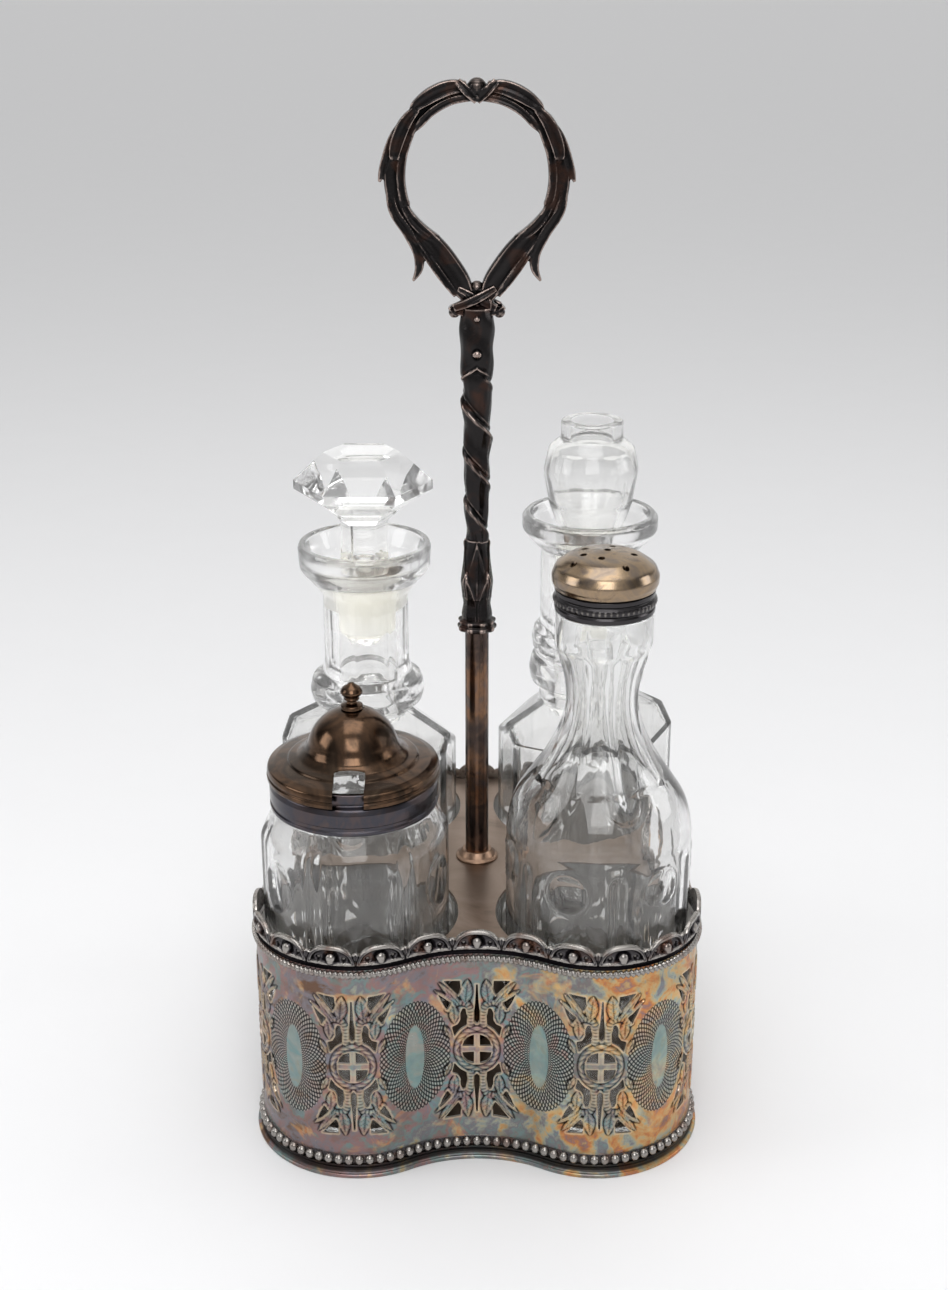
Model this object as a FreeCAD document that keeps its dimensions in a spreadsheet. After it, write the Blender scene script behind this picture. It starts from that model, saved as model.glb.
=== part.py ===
import FreeCAD, Part
import math
import os
import Sketcher

# Four-bottle cruet set: a quatrefoil pierced gallery with a tall ring handle,
# holding a mustard jar, a pepper bottle and two stoppered bottles.
# +X is right, +Y is back, +Z is up. The origin is on the ground under the handle.

SIZES = {
    # plan of the gallery
    "well_offset": 30.87,
    "waist_span": 62.74,
    "foot_radius": 28.08,
    "foot_step_radius": 27.0,
    "wall_radius": 26.2,
    "wall_inner_radius": 25.6,
    "cord_radius": 26.95,
    "bead_radius": 27.2,
    "rim_radius": 26.5,
    "rim_inner_radius": 25.7,
    "plate_hole_radius": 26.1,
    # levels of the gallery
    "foot_flange": 1.0,
    "foot_height": 3.4,
    "base_level": 4.0,
    "base_thickness": 0.8,
    "wall_bottom": 3.4,
    "wall_height": 57.2,
    "bead_bottom": 3.4,
    "bead_height": 2.8,
    "cord_bottom": 58.2,
    "cord_height": 2.4,
    "rim_bottom": 60.6,
    "rim_height": 6.6,
    "plate_level": 61.3,
    "plate_thickness": 0.8,
    # pierced motif and scallops
    "motif_count": 13,
    "motif_level": 32.5,
    "scallop_count": 34,
    "scallop_width": 10.6,
    "notch_flare": 2.6,
    "notch_bend": 0.7,
    "notch_floor_share": 0.5,
    "notch_bend_share": 0.66,
    "notch_overrun": 0.5,
    "punch_depth": 2.0,
    # post and handle
    "rod_radius": 1.6,
    "rod_bottom": 0.5,
    "rod_top": 148.0,
    "bore_radius": 1.65,
    "nut_radius": 4.0,
    "nut_height": 2.3,
    "nut_level": 0.9,
    "washer_radius": 5.5,
    "washer_height": 0.7,
    "washer_level": 3.25,
    "tube_radius": 3.1,
    "tube_inner_radius": 2.3,
    "tube_bottom": 4.8,
    "tube_top": 128.6,
    "boss_radius": 5.75,
    "boss_top_radius": 4.0,
    "boss_level": 62.1,
    "boss_height": 2.4,
    "boss_bore_radius": 3.12,
    "collar_radius": 5.1,
    "collar_level": 128.6,
    "collar_height": 3.2,
    "collar_rounding": 1.28,
    "calyx_bottom": 131.8,
    "calyx_neck_level": 135.5,
    "calyx_bulge_level": 143.0,
    "calyx_top": 153.0,
    "calyx_foot_radius": 3.9,
    "calyx_neck_radius": 3.4,
    "calyx_bulge_radius": 4.2,
    "calyx_top_radius": 2.9,
    "stem_low_radius": 3.1,
    "stem_mid_radius": 3.45,
    "stem_high_radius": 3.75,
    "stem_top_radius": 4.45,
    "stem_mid_level": 171.0,
    "stem_high_level": 190.0,
    "stem_top_level": 208.0,
    "stem_cap_level": 212.5,
    "knot_width": 11.0,
    "knot_depth": 6.4,
    "knot_bottom": 212.5,
    "knot_height": 6.3,
    "knot_rounding": 1.2,
    "ear_radius": 1.8,
    "ear_length": 5.12,
    "ear_offset": 5.6,
    "ear_level": 211.8,
    "ring_level": 243.5,
    "ring_radius": 19.8,
    "ring_half_width": 2.5,
    "ring_half_depth": 2.2,
    "ring_open_angle": 42.0,
    "ring_arm": 15.0,
    "spur_radius": 1.8,
    "spur_tip_radius": 0.3,
    "side_spur_out": 20.6,
    "side_spur_level": 239.0,
    "side_spur_reach": 4.4,
    "side_spur_lean": 0.62,
    "side_spur_rise": 0.8,
    "low_spur_out": 13.6,
    "low_spur_level": 227.0,
    "low_spur_reach": 9.2,
    "low_spur_lean": 0.28,
    "low_spur_rise": -1.0,
    "ring_heart_level": 264.0,
    "ring_heart_radius": 2.3,
    # mustard jar
    "glass_floor": 4.9,
    "jar_foot_level": 8.0,
    "jar_radius": 23.6,
    "jar_shoulder": 86.5,
    "jar_neck_radius": 20.3,
    "jar_neck_level": 94.2,
    "jar_shoulder_curve": 7.6,
    "jar_mouth_radius": 17.2,
    "jar_mouth_level": 100.6,
    "jar_inner_radius": 21.0,
    "jar_inner_shoulder": 87.0,
    "jar_inner_neck": 93.5,
    "jar_inner_floor": 9.0,
    "mustard_collar_inner": 20.4,
    "mustard_collar_radius": 21.1,
    "mustard_collar_bottom": 94.4,
    "mustard_collar_ledge": 101.2,
    "mustard_collar_neck": 18.8,
    "mustard_collar_mouth": 17.4,
    "mustard_collar_top": 104.3,
    "mustard_collar_seat": 100.7,
    "lid_radius": 21.65,
    "lid_skirt_inner": 20.8,
    "lid_skirt_bottom": 101.7,
    "lid_underside": 104.4,
    "lid_top": 105.3,
    "lid_step_radius": 16.2,
    "lid_step_top": 106.0,
    "lid_dome_foot": 108.0,
    "lid_dome_radius": 11.5,
    "lid_flare_curve": 8.0,
    "lid_dome_top": 119.5,
    "lid_inner_dome": 10.7,
    "lid_inner_top": 118.7,
    "lid_inner_flare": 14.6,
    "notch_width": 7.6,
    "notch_inner": 12.6,
    "notch_outer": 23.0,
    "notch_depth": 110.0,
    "finial_level": 119.5,
    "finial_disc_radius": 2.75,
    "finial_disc_top": 120.3,
    "finial_waist_radius": 1.3,
    "finial_waist_level": 121.0,
    "finial_ball_level": 123.6,
    "finial_ball_radius": 3.05,
    "finial_tip_radius": 0.5,
    "finial_tip_level": 126.3,
    # pepper bottle
    "pepper_shoulder": 86.7,
    "pepper_slope_radius": 18.0,
    "pepper_slope_level": 100.0,
    "pepper_shoulder_curve": 18.7,
    "pepper_neck_radius": 10.3,
    "pepper_neck_level": 126.5,
    "pepper_neck_curve": 28.0,
    "pepper_throat_radius": 12.1,
    "pepper_throat_level": 140.0,
    "pepper_collar_seat": 145.3,
    "pepper_rim_radius": 11.35,
    "pepper_rim_level": 149.4,
    "pepper_rim_seat": 149.5,
    "pepper_mouth_radius": 8.4,
    "pepper_inner_neck": 7.2,
    "pepper_inner_neck_level": 122.0,
    "pepper_inner_slope": 14.6,
    "pepper_inner_slope_level": 99.0,
    "pepper_inner_shoulder": 85.0,
    "pepper_inner_curve": 30.0,
    "pepper_collar_inner": 11.4,
    "pepper_collar_bottom": 145.4,
    "pepper_collar_radius": 12.2,
    "pepper_bead_low": 147.2,
    "pepper_bead_radius": 12.7,
    "pepper_bead_level": 148.3,
    "pepper_bead_high": 149.4,
    "pepper_collar_top": 151.1,
    "pepper_spigot_radius": 11.0,
    "pepper_spigot_inner": 9.8,
    "pepper_spigot_top": 154.0,
    "cap_inner_radius": 11.2,
    "cap_bottom": 151.3,
    "cap_foot_radius": 12.5,
    "cap_radius": 13.0,
    "cap_wide_level": 154.0,
    "cap_edge_radius": 10.6,
    "cap_edge_level": 157.8,
    "cap_edge_curve": 4.4,
    "cap_top": 160.5,
    "cap_inner_top": 159.5,
    "cap_inner_edge_radius": 10.0,
    "cap_inner_edge_level": 156.8,
    "sprinkle_radius": 0.6,
    "sprinkle_inner_ring": 4.8,
    "sprinkle_outer_ring": 8.8,
    "sprinkle_inner_count": 5,
    "sprinkle_outer_count": 6,
    # oil bottle
    "square_half": 21.85,
    "cut_half": 24.4,
    "oil_shoulder": 84.0,
    "oil_shoulder_top": 94.0,
    "oil_top_half": 9.6,
    "oil_turn": -15.0,
    "oil_ring_bottom": 95.3,
    "oil_ring_top": 105.0,
    "oil_ring_curve": 4.95,
    "oil_neck_radius": 12.15,
    "oil_neck_top": 129.7,
    "oil_lip_low_radius": 15.2,
    "oil_lip_low_level": 132.6,
    "oil_lip_radius": 18.3,
    "oil_lip_level": 137.0,
    "oil_lip_top": 142.5,
    "oil_lip_inner_radius": 16.4,
    "oil_dish_radius": 9.4,
    "oil_dish_level": 135.0,
    "oil_bore_top": 8.4,
    "oil_bore_low": 7.9,
    "oil_bore_level": 116.0,
    "oil_inner_shoulder": 80.0,
    "oil_inner_radius": 19.4,
    "oil_inner_neck": 95.0,
    "plug_top_radius": 8.1,
    "plug_low_radius": 7.65,
    "plug_top_level": 134.6,
    "plug_low_level": 118.0,
    "plug_end_radius": 4.0,
    "plug_end_level": 113.6,
    "oil_stem_radius": 6.4,
    "oil_stem_low": 138.0,
    "oil_stem_top": 149.0,
    "oil_head_low": 157.6,
    "oil_head_high": 159.9,
    "oil_head_radius": 19.0,
    "oil_table_level": 167.6,
    "oil_table_radius": 10.6,
    # vinegar bottle
    "vinegar_cut_half": 24.3,
    "vinegar_square_half": 22.1,
    "vinegar_shoulder": 87.8,
    "vinegar_shoulder_top": 97.2,
    "vinegar_top_half": 9.9,
    "vinegar_turn": 20.0,
    "vinegar_neck_radius": 13.3,
    "vinegar_bulge_bottom": 101.0,
    "vinegar_bulge_radius": 16.2,
    "vinegar_bulge_level": 106.0,
    "vinegar_bulge_top": 110.6,
    "vinegar_waist_radius": 14.4,
    "vinegar_ring_radius": 15.5,
    "vinegar_ring_level": 115.0,
    "vinegar_ring_top": 119.4,
    "vinegar_neck_top": 142.5,
    "vinegar_lip_low_radius": 17.6,
    "vinegar_lip_low_level": 145.5,
    "vinegar_lip_radius": 18.5,
    "vinegar_lip_mid": 148.0,
    "vinegar_lip_high": 150.2,
    "vinegar_lip_top_radius": 17.4,
    "vinegar_lip_top": 151.1,
    "vinegar_dish_radius": 10.2,
    "vinegar_dish_level": 143.5,
    "vinegar_bore_top": 9.0,
    "vinegar_bore_low": 8.5,
    "vinegar_bore_level": 124.0,
    "vinegar_inner_shoulder": 84.0,
    "vinegar_inner_radius": 19.2,
    "vinegar_inner_neck": 99.0,
    "bulb_plug_end": 126.0,
    "bulb_plug_low_radius": 8.25,
    "bulb_plug_top_radius": 8.7,
    "bulb_plug_top": 143.2,
    "bulb_throat_radius": 8.75,
    "bulb_throat_level": 146.0,
    "bulb_low_radius": 11.4,
    "bulb_low_level": 154.2,
    "bulb_radius": 12.95,
    "bulb_level": 164.0,
    "bulb_high_radius": 11.3,
    "bulb_high_level": 169.6,
    "bulb_rim_radius": 8.35,
    "bulb_rim_level": 172.3,
    "bulb_rim_top": 176.6,
    "bulb_mouth_radius": 5.6,
    "bulb_mouth_level": 172.0,
    "bulb_inner_high_radius": 9.8,
    "bulb_inner_high": 168.2,
    "bulb_inner_radius": 11.3,
    "bulb_inner_level": 163.0,
    "bulb_inner_low_radius": 6.6,
    "bulb_inner_low": 147.0,
    "bulb_inner_floor_radius": 6.0,
    "bulb_inner_floor": 130.0,
}

# Piercings of one motif, as corners (along the wall, above the middle) in mm.
# Each is repeated in all four quarters; the slot is mirrored top to bottom only.
WHEEL_GAP = ((0.8, 0.8), (4.2, 0.8), (3.7, 2.6), (2.6, 3.7), (0.8, 4.2))
STEM_GAP = ((3.2, 6.8), (5.9, 4.9), (6.4, 8.9), (4.7, 12.2), (3.5, 10.4))
LEAF_GAP = ((3.0, 22.0), (8.2, 22.2), (4.9, 18.2))
TIP_GAP = ((6.5, 14.8), (10.4, 18.9), (9.6, 13.0))
SLOT_GAP = ((0.0, 6.9), (1.6, 10.5), (2.2, 14.6), (0.7, 19.2), (-0.7, 19.2), (-2.2, 14.6), (-1.6, 10.5))

doc = FreeCAD.newDocument("cruet_set")
dims = doc.addObject("Spreadsheet::Sheet", "dims")
for row, (alias, size) in enumerate(SIZES.items(), start=1):
    dims.set("A%d" % row, alias)
    dims.set("B%d" % row, str(size))
    dims.setAlias("B%d" % row, alias)
doc.recompute()

parts = []


def size_of(alias):
    """The number held in the sheet's cell of this name."""
    return float(dims.get(alias))


def keep(piece, name):
    """Name a finished sub-part and list it for export."""
    piece.Label = name
    parts.append((name, piece))
    return piece


def place(piece, across=None, back=None, up=None):
    """Bind an object's position to expressions of the sheet."""
    for axis, words in (("x", across), ("y", back), ("z", up)):
        if words:
            piece.setExpression("Placement.Base." + axis, words)


def new_body(name):
    """An empty PartDesign body."""
    return doc.addObject("PartDesign::Body", name)


def plane_sketch(body, name, role):
    """A sketch on one of the body's own origin planes."""
    sketch = body.newObject("Sketcher::SketchObject", name)
    plane = next(f for f in body.Origin.OriginFeatures if f.Role == role)
    sketch.AttachmentSupport = (plane, "")
    sketch.MapMode = "FlatFace"
    return sketch


def bind(sketch, constraint, words):
    """Add a dimension to a sketch and bind it to the sheet."""
    index = sketch.addConstraint(constraint)
    sketch.setExpression("Constraints[%d]" % index, words)


def arc_between(start, end, radius, side):
    """The minor arc from start to end; side +1 has its centre on the left."""
    chord = end.sub(start)
    left = FreeCAD.Vector(-chord.y, chord.x, 0).normalize()
    rise = math.sqrt(max(radius ** 2 - (chord.Length / 2) ** 2, 0))
    centre = start.add(end).multiply(0.5).add(left.multiply(side * rise))
    first, last = (start, end) if side > 0 else (end, start)
    angles = [math.atan2(p.y - centre.y, p.x - centre.x) for p in (first, last)]
    circle = Part.Circle(centre, FreeCAD.Vector(0, 0, 1), radius)
    return Part.ArcOfCircle(circle, angles[0], angles[1])


def add_outline(sketch, outline):
    """Draw a closed half-section from (radius cell, height cell, curve cell, side).

    A radius cell of None lies on the turning axis. The curve belongs to the
    edge that leaves the point; "on_axis" makes it part of a sphere.
    """
    count = len(outline)
    corners = []
    for entry in outline:
        across = size_of(entry[0]) if entry[0] else 0.0
        corners.append(FreeCAD.Vector(across, size_of(entry[1]), 0))
    ends = []
    for index, entry in enumerate(outline):
        start = corners[index]
        end = corners[(index + 1) % count]
        if len(entry) == 4 and entry[2] == "on_axis":
            rise = abs(end.y - start.y)
            radius = (max(start.x, end.x) ** 2 + rise ** 2) / (2 * rise)
            edge = sketch.addGeometry(arc_between(start, end, radius, entry[3]), False)
            sketch.addConstraint(Sketcher.Constraint("PointOnObject", edge, 3, -2))
            ends.append((edge, 1, 2) if entry[3] > 0 else (edge, 2, 1))
        elif len(entry) == 4:
            edge = sketch.addGeometry(arc_between(start, end, size_of(entry[2]), entry[3]), False)
            bind(sketch, Sketcher.Constraint("Radius", edge, size_of(entry[2])), "dims." + entry[2])
            ends.append((edge, 1, 2) if entry[3] > 0 else (edge, 2, 1))
        else:
            edge = sketch.addGeometry(Part.LineSegment(start, end), False)
            ends.append((edge, 1, 2))
    for index, entry in enumerate(outline):
        edge, first, _ = ends[index]
        before, _, last = ends[index - 1]
        sketch.addConstraint(Sketcher.Constraint("Coincident", before, last, edge, first))
        if entry[0]:
            bind(sketch, Sketcher.Constraint("DistanceX", edge, first, corners[index].x), "dims." + entry[0])
        else:
            sketch.addConstraint(Sketcher.Constraint("PointOnObject", edge, first, -2))
        bind(sketch, Sketcher.Constraint("DistanceY", edge, first, corners[index].y), "dims." + entry[1])


def turned(name, outline):
    """A body turned about its own vertical axis."""
    body = new_body(name)
    sketch = plane_sketch(body, name + "_section", "XZ_Plane")
    add_outline(sketch, outline)
    turn = body.newObject("PartDesign::Revolution", name + "_turn")
    turn.Profile = sketch
    turn.ReferenceAxis = (sketch, ["V_Axis"])
    turn.Angle = 360.0
    return body


def add_quatrefoil(sketch, radius_cell):
    """Draw four lobes joined by four concave waists."""
    offset = size_of("well_offset")
    lobe = size_of(radius_cell)
    span = size_of("waist_span")
    reach = offset + math.sqrt(span ** 2 - offset ** 2)
    swing = math.degrees(math.asin(offset / span))
    up = FreeCAD.Vector(0, 0, 1)
    lobes = []
    waists = []
    for quarter in range(4):
        middle = 45.0 + 90.0 * quarter
        centre = FreeCAD.Vector(offset * math.sqrt(2) * math.cos(math.radians(middle)),
                                offset * math.sqrt(2) * math.sin(math.radians(middle)), 0)
        half = 45.0 + swing
        arc = Part.ArcOfCircle(Part.Circle(centre, up, lobe),
                               math.radians(middle - half), math.radians(middle + half))
        lobes.append(sketch.addGeometry(arc, False))
        facing = 90.0 * (quarter + 1)
        centre = FreeCAD.Vector(reach * math.cos(math.radians(facing)),
                                reach * math.sin(math.radians(facing)), 0)
        arc = Part.ArcOfCircle(Part.Circle(centre, up, span - lobe),
                               math.radians(facing + 180 - swing), math.radians(facing + 180 + swing))
        waists.append(sketch.addGeometry(arc, False))
    for quarter in range(4):
        lobe_arc = lobes[quarter]
        waist_arc = waists[quarter]
        next_lobe = lobes[(quarter + 1) % 4]
        sketch.addConstraint(Sketcher.Constraint("Tangent", lobe_arc, 2, waist_arc, 2))
        sketch.addConstraint(Sketcher.Constraint("Tangent", waist_arc, 1, next_lobe, 1))
    for quarter in range(1, 4):
        sketch.addConstraint(Sketcher.Constraint("Equal", lobes[0], lobes[quarter]))
        sketch.addConstraint(Sketcher.Constraint("Equal", waists[0], waists[quarter]))
    sketch.addConstraint(Sketcher.Constraint("Symmetric", lobes[0], 3, lobes[1], 3, -2))
    sketch.addConstraint(Sketcher.Constraint("Symmetric", lobes[0], 3, lobes[3], 3, -1))
    sketch.addConstraint(Sketcher.Constraint("Symmetric", lobes[1], 3, lobes[2], 3, -1))
    bind(sketch, Sketcher.Constraint("DistanceX", lobes[0], 3, offset), "dims.well_offset")
    bind(sketch, Sketcher.Constraint("DistanceY", lobes[0], 3, offset), "dims.well_offset")
    bind(sketch, Sketcher.Constraint("Radius", lobes[0], lobe), "dims." + radius_cell)
    bind(sketch, Sketcher.Constraint("Radius", waists[0], span - lobe),
         "dims.waist_span - dims." + radius_cell)


def add_circle(sketch, radius_cell, across=None, back=None):
    """Draw a circle with its centre at a positive place, or on the sheet's axes."""
    centre = FreeCAD.Vector(size_of(across) if across else 0, size_of(back) if back else 0, 0)
    ring = sketch.addGeometry(Part.Circle(centre, FreeCAD.Vector(0, 0, 1), size_of(radius_cell)), False)
    bind(sketch, Sketcher.Constraint("Radius", ring, size_of(radius_cell)), "dims." + radius_cell)
    for kind, cell, axis, value in (("DistanceX", across, -2, centre.x), ("DistanceY", back, -1, centre.y)):
        if cell:
            bind(sketch, Sketcher.Constraint(kind, ring, 3, value), "dims." + cell)
        else:
            sketch.addConstraint(Sketcher.Constraint("PointOnObject", ring, 3, axis))


def pad(body, sketch, name, length_words):
    """Raise a sketch of the body by a length from the sheet."""
    feature = body.newObject("PartDesign::Pad", name)
    feature.Profile = sketch
    feature.setExpression("Length", length_words)
    return feature


def quatrefoil_band(name, outer_cell, inner_cell, height_cell, level_cell, hole_cell=None):
    """A band or plate of the gallery's outline; inner_cell None makes it a plate."""
    body = new_body(name)
    sketch = plane_sketch(body, name + "_plan", "XY_Plane")
    add_quatrefoil(sketch, outer_cell)
    if inner_cell:
        add_quatrefoil(sketch, inner_cell)
    if hole_cell:
        add_circle(sketch, hole_cell)
    pad(body, sketch, name + "_rise", "dims." + height_cell)
    if level_cell:
        place(body, up="dims." + level_cell)
    return body


def wall_point(along):
    """Place and outward direction of the wall at a distance from the front waist."""
    offset = size_of("well_offset")
    lobe = size_of("wall_radius")
    span = size_of("waist_span")
    reach = offset + math.sqrt(span ** 2 - offset ** 2)
    swing = math.asin(offset / span)
    waist_length = (span - lobe) * swing
    lobe_length = lobe * (math.pi / 2 + 2 * swing)
    quarter_length = 2 * waist_length + lobe_length
    quarter, rest = divmod(along, quarter_length)
    if rest < waist_length:
        angle = math.pi / 2 - rest / (span - lobe)
        spot = FreeCAD.Vector((span - lobe) * math.cos(angle), -reach + (span - lobe) * math.sin(angle), 0)
        outward = FreeCAD.Vector(-math.cos(angle), -math.sin(angle), 0)
    elif rest < waist_length + lobe_length:
        angle = -math.pi / 2 - swing + (rest - waist_length) / lobe
        spot = FreeCAD.Vector(offset + lobe * math.cos(angle), -offset + lobe * math.sin(angle), 0)
        outward = FreeCAD.Vector(math.cos(angle), math.sin(angle), 0)
    else:
        angle = math.pi + (quarter_length - rest) / (span - lobe)
        spot = FreeCAD.Vector(reach + (span - lobe) * math.cos(angle), (span - lobe) * math.sin(angle), 0)
        outward = FreeCAD.Vector(-math.cos(angle), -math.sin(angle), 0)
    turn = FreeCAD.Rotation(FreeCAD.Vector(0, 0, 1), 90 * quarter)
    return turn.multVec(spot), turn.multVec(outward)


def wall_length():
    """Length of the wall's outline."""
    swing = math.asin(size_of("well_offset") / size_of("waist_span"))
    lobe = size_of("wall_radius")
    waist = size_of("waist_span") - lobe
    return 4 * (2 * waist * swing + lobe * (math.pi / 2 + 2 * swing))


def punch(corners, along, level):
    """A short prism that goes through the wall at one place."""
    spot, outward = wall_point(along % wall_length())
    side = FreeCAD.Vector(0, 0, 1).cross(outward)
    depth = size_of("punch_depth")
    points = []
    for across, rise in corners:
        flat = spot.add(FreeCAD.Vector(side).multiply(across)).sub(FreeCAD.Vector(outward).multiply(depth))
        points.append(FreeCAD.Vector(flat.x, flat.y, level + rise))
    points.append(points[0])
    face = Part.Face(Part.makePolygon(points))
    return face.extrude(FreeCAD.Vector(outward).multiply(2 * depth))


def mirrored(corners, across, rise):
    """The same corners turned over about the motif's middle lines."""
    return [(corner[0] * across, corner[1] * rise) for corner in corners]


def motif_punches():
    """Every piercing of every motif round the wall."""
    pitch = wall_length() / size_of("motif_count")
    tools = []
    for number in range(int(size_of("motif_count"))):
        along = number * pitch
        for rise in (1, -1):
            tools.append(punch(mirrored(SLOT_GAP, 1, rise), along, size_of("motif_level")))
            for across in (1, -1):
                for gap in (WHEEL_GAP, STEM_GAP, LEAF_GAP, TIP_GAP):
                    tools.append(punch(mirrored(gap, across, rise), along, size_of("motif_level")))
    return tools


def scallop_punches():
    """A round-sided notch between each pair of scallops, cut down from the top."""
    pitch = wall_length() / size_of("scallop_count")
    half = (pitch - size_of("scallop_width")) / 2
    height = size_of("rim_height")
    floor = (half, size_of("notch_floor_share") * height)
    bend = (half + size_of("notch_bend"), size_of("notch_bend_share") * height)
    mouth = (half + size_of("notch_flare"), height + size_of("notch_overrun"))
    notch = [(-across, rise) for across, rise in (mouth, bend, floor)] + [floor, bend, mouth]
    count = int(size_of("scallop_count"))
    return [punch(notch, (number + 0.5) * pitch, size_of("rim_bottom")) for number in range(count)]


def cut_with(name, stock, tools):
    """Cut a set of loose tools from a stock object."""
    tool = doc.addObject("Part::Feature", name + "_tools")
    tool.Shape = Part.makeCompound(tools)
    cut = doc.addObject("Part::Cut", name)
    cut.Base = stock
    cut.Tool = tool
    return cut


def boolean(kind, name, base, tool):
    """A Part boolean of two objects."""
    result = doc.addObject("Part::" + kind, name)
    result.Base = base
    result.Tool = tool
    return result


def box(name, half_words, height_words, turn, level_words=None):
    """A square block centred on the axis, turned about it."""
    block = doc.addObject("Part::Box", name)
    block.setExpression("Length", "2 * " + half_words)
    block.setExpression("Width", "2 * " + half_words)
    block.setExpression("Height", height_words)
    spin = FreeCAD.Rotation(FreeCAD.Vector(0, 0, 1), turn)
    block.Placement = FreeCAD.Placement(FreeCAD.Vector(0, 0, 0), spin)
    cos = math.cos(math.radians(turn))
    sin = math.sin(math.radians(turn))
    place(block, "%s * %.9f" % (half_words, sin - cos), "%s * %.9f" % (half_words, -sin - cos), level_words)
    return block


def base_and_foot():
    """The flat base and the moulded foot that it sits in."""
    keep(quatrefoil_band("base_plate", "wall_inner_radius", None, "base_thickness", "base_level",
                         "bore_radius"), "base_plate")
    foot = quatrefoil_band("foot_moulding", "foot_radius", "wall_inner_radius", "foot_flange", None)
    step = plane_sketch(foot, "foot_step_plan", "XY_Plane")
    add_quatrefoil(step, "foot_step_radius")
    add_quatrefoil(step, "wall_inner_radius")
    pad(foot, step, "foot_step", "dims.foot_height")
    keep(foot, "foot_moulding")


def gallery():
    """The pierced wall with its bead strip, cord and scalloped rim."""
    wall = quatrefoil_band("wall_strip", "wall_radius", "wall_inner_radius", "wall_height", "wall_bottom")
    keep(cut_with("gallery_wall", wall, motif_punches()), "gallery_wall")
    keep(quatrefoil_band("bead_strip", "bead_radius", "wall_radius", "bead_height", "bead_bottom"),
         "bead_strip")
    keep(quatrefoil_band("cord_moulding", "cord_radius", "wall_radius", "cord_height", "cord_bottom"),
         "cord_moulding")
    rim = quatrefoil_band("rim_strip", "rim_radius", "rim_inner_radius", "rim_height", "rim_bottom")
    keep(cut_with("scalloped_rim", rim, scallop_punches()), "scalloped_rim")


def top_plate():
    """The star-shaped plate left between four round wells."""
    plate = quatrefoil_band("plate_blank", "wall_inner_radius", None, "plate_thickness", "plate_level",
                            "boss_bore_radius")
    wells = plane_sketch(plate, "plate_wells", "XY_Plane")
    add_circle(wells, "plate_hole_radius", "well_offset", "well_offset")
    well = plate.newObject("PartDesign::Pocket", "plate_well")
    well.Profile = wells
    well.Type = "ThroughAll"
    well.Midplane = True
    ring = plate.newObject("PartDesign::PolarPattern", "plate_well_ring")
    ring.Originals = [well]
    ring.Axis = (wells, ["N_Axis"])
    ring.Angle = 360.0
    ring.Occurrences = 4
    plate.Tip = ring
    keep(plate, "top_plate")


def post():
    """The tube, its boss on the plate and the long rod that holds them together."""
    tube = new_body("post_tube")
    section = plane_sketch(tube, "post_tube_plan", "XY_Plane")
    add_circle(section, "tube_radius")
    add_circle(section, "tube_inner_radius")
    pad(tube, section, "post_tube_rise", "dims.tube_top - dims.tube_bottom")
    place(tube, up="dims.tube_bottom")
    keep(tube, "post_tube")

    cone = doc.addObject("Part::Cone", "boss_cone")
    cone.setExpression("Radius1", "dims.boss_radius")
    cone.setExpression("Radius2", "dims.boss_top_radius")
    cone.setExpression("Height", "dims.boss_height")
    bore = doc.addObject("Part::Cylinder", "boss_bore")
    bore.setExpression("Radius", "dims.boss_bore_radius")
    bore.setExpression("Height", "dims.boss_height")
    boss = boolean("Cut", "plate_boss", cone, bore)
    place(boss, up="dims.boss_level")
    keep(boss, "plate_boss")

    rod = doc.addObject("Part::Cylinder", "tie_rod")
    rod.setExpression("Radius", "dims.rod_radius")
    rod.setExpression("Height", "dims.rod_top - dims.rod_bottom")
    place(rod, up="dims.rod_bottom")
    keep(rod, "tie_rod")

    for name, radius, height, level in (("base_washer", "washer_radius", "washer_height", "washer_level"),
                                        ("rod_nut", "nut_radius", "nut_height", "nut_level")):
        if name == "rod_nut":
            blank = doc.addObject("Part::Prism", name + "_blank")
            blank.Polygon = 6
            blank.setExpression("Circumradius", "dims." + radius)
        else:
            blank = doc.addObject("Part::Cylinder", name + "_blank")
            blank.setExpression("Radius", "dims." + radius)
        blank.setExpression("Height", "dims." + height)
        hole = doc.addObject("Part::Cylinder", name + "_hole")
        hole.setExpression("Radius", "dims.bore_radius")
        hole.setExpression("Height", "dims." + height)
        piece = boolean("Cut", name, blank, hole)
        place(piece, up="dims." + level)
        keep(piece, name)


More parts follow.
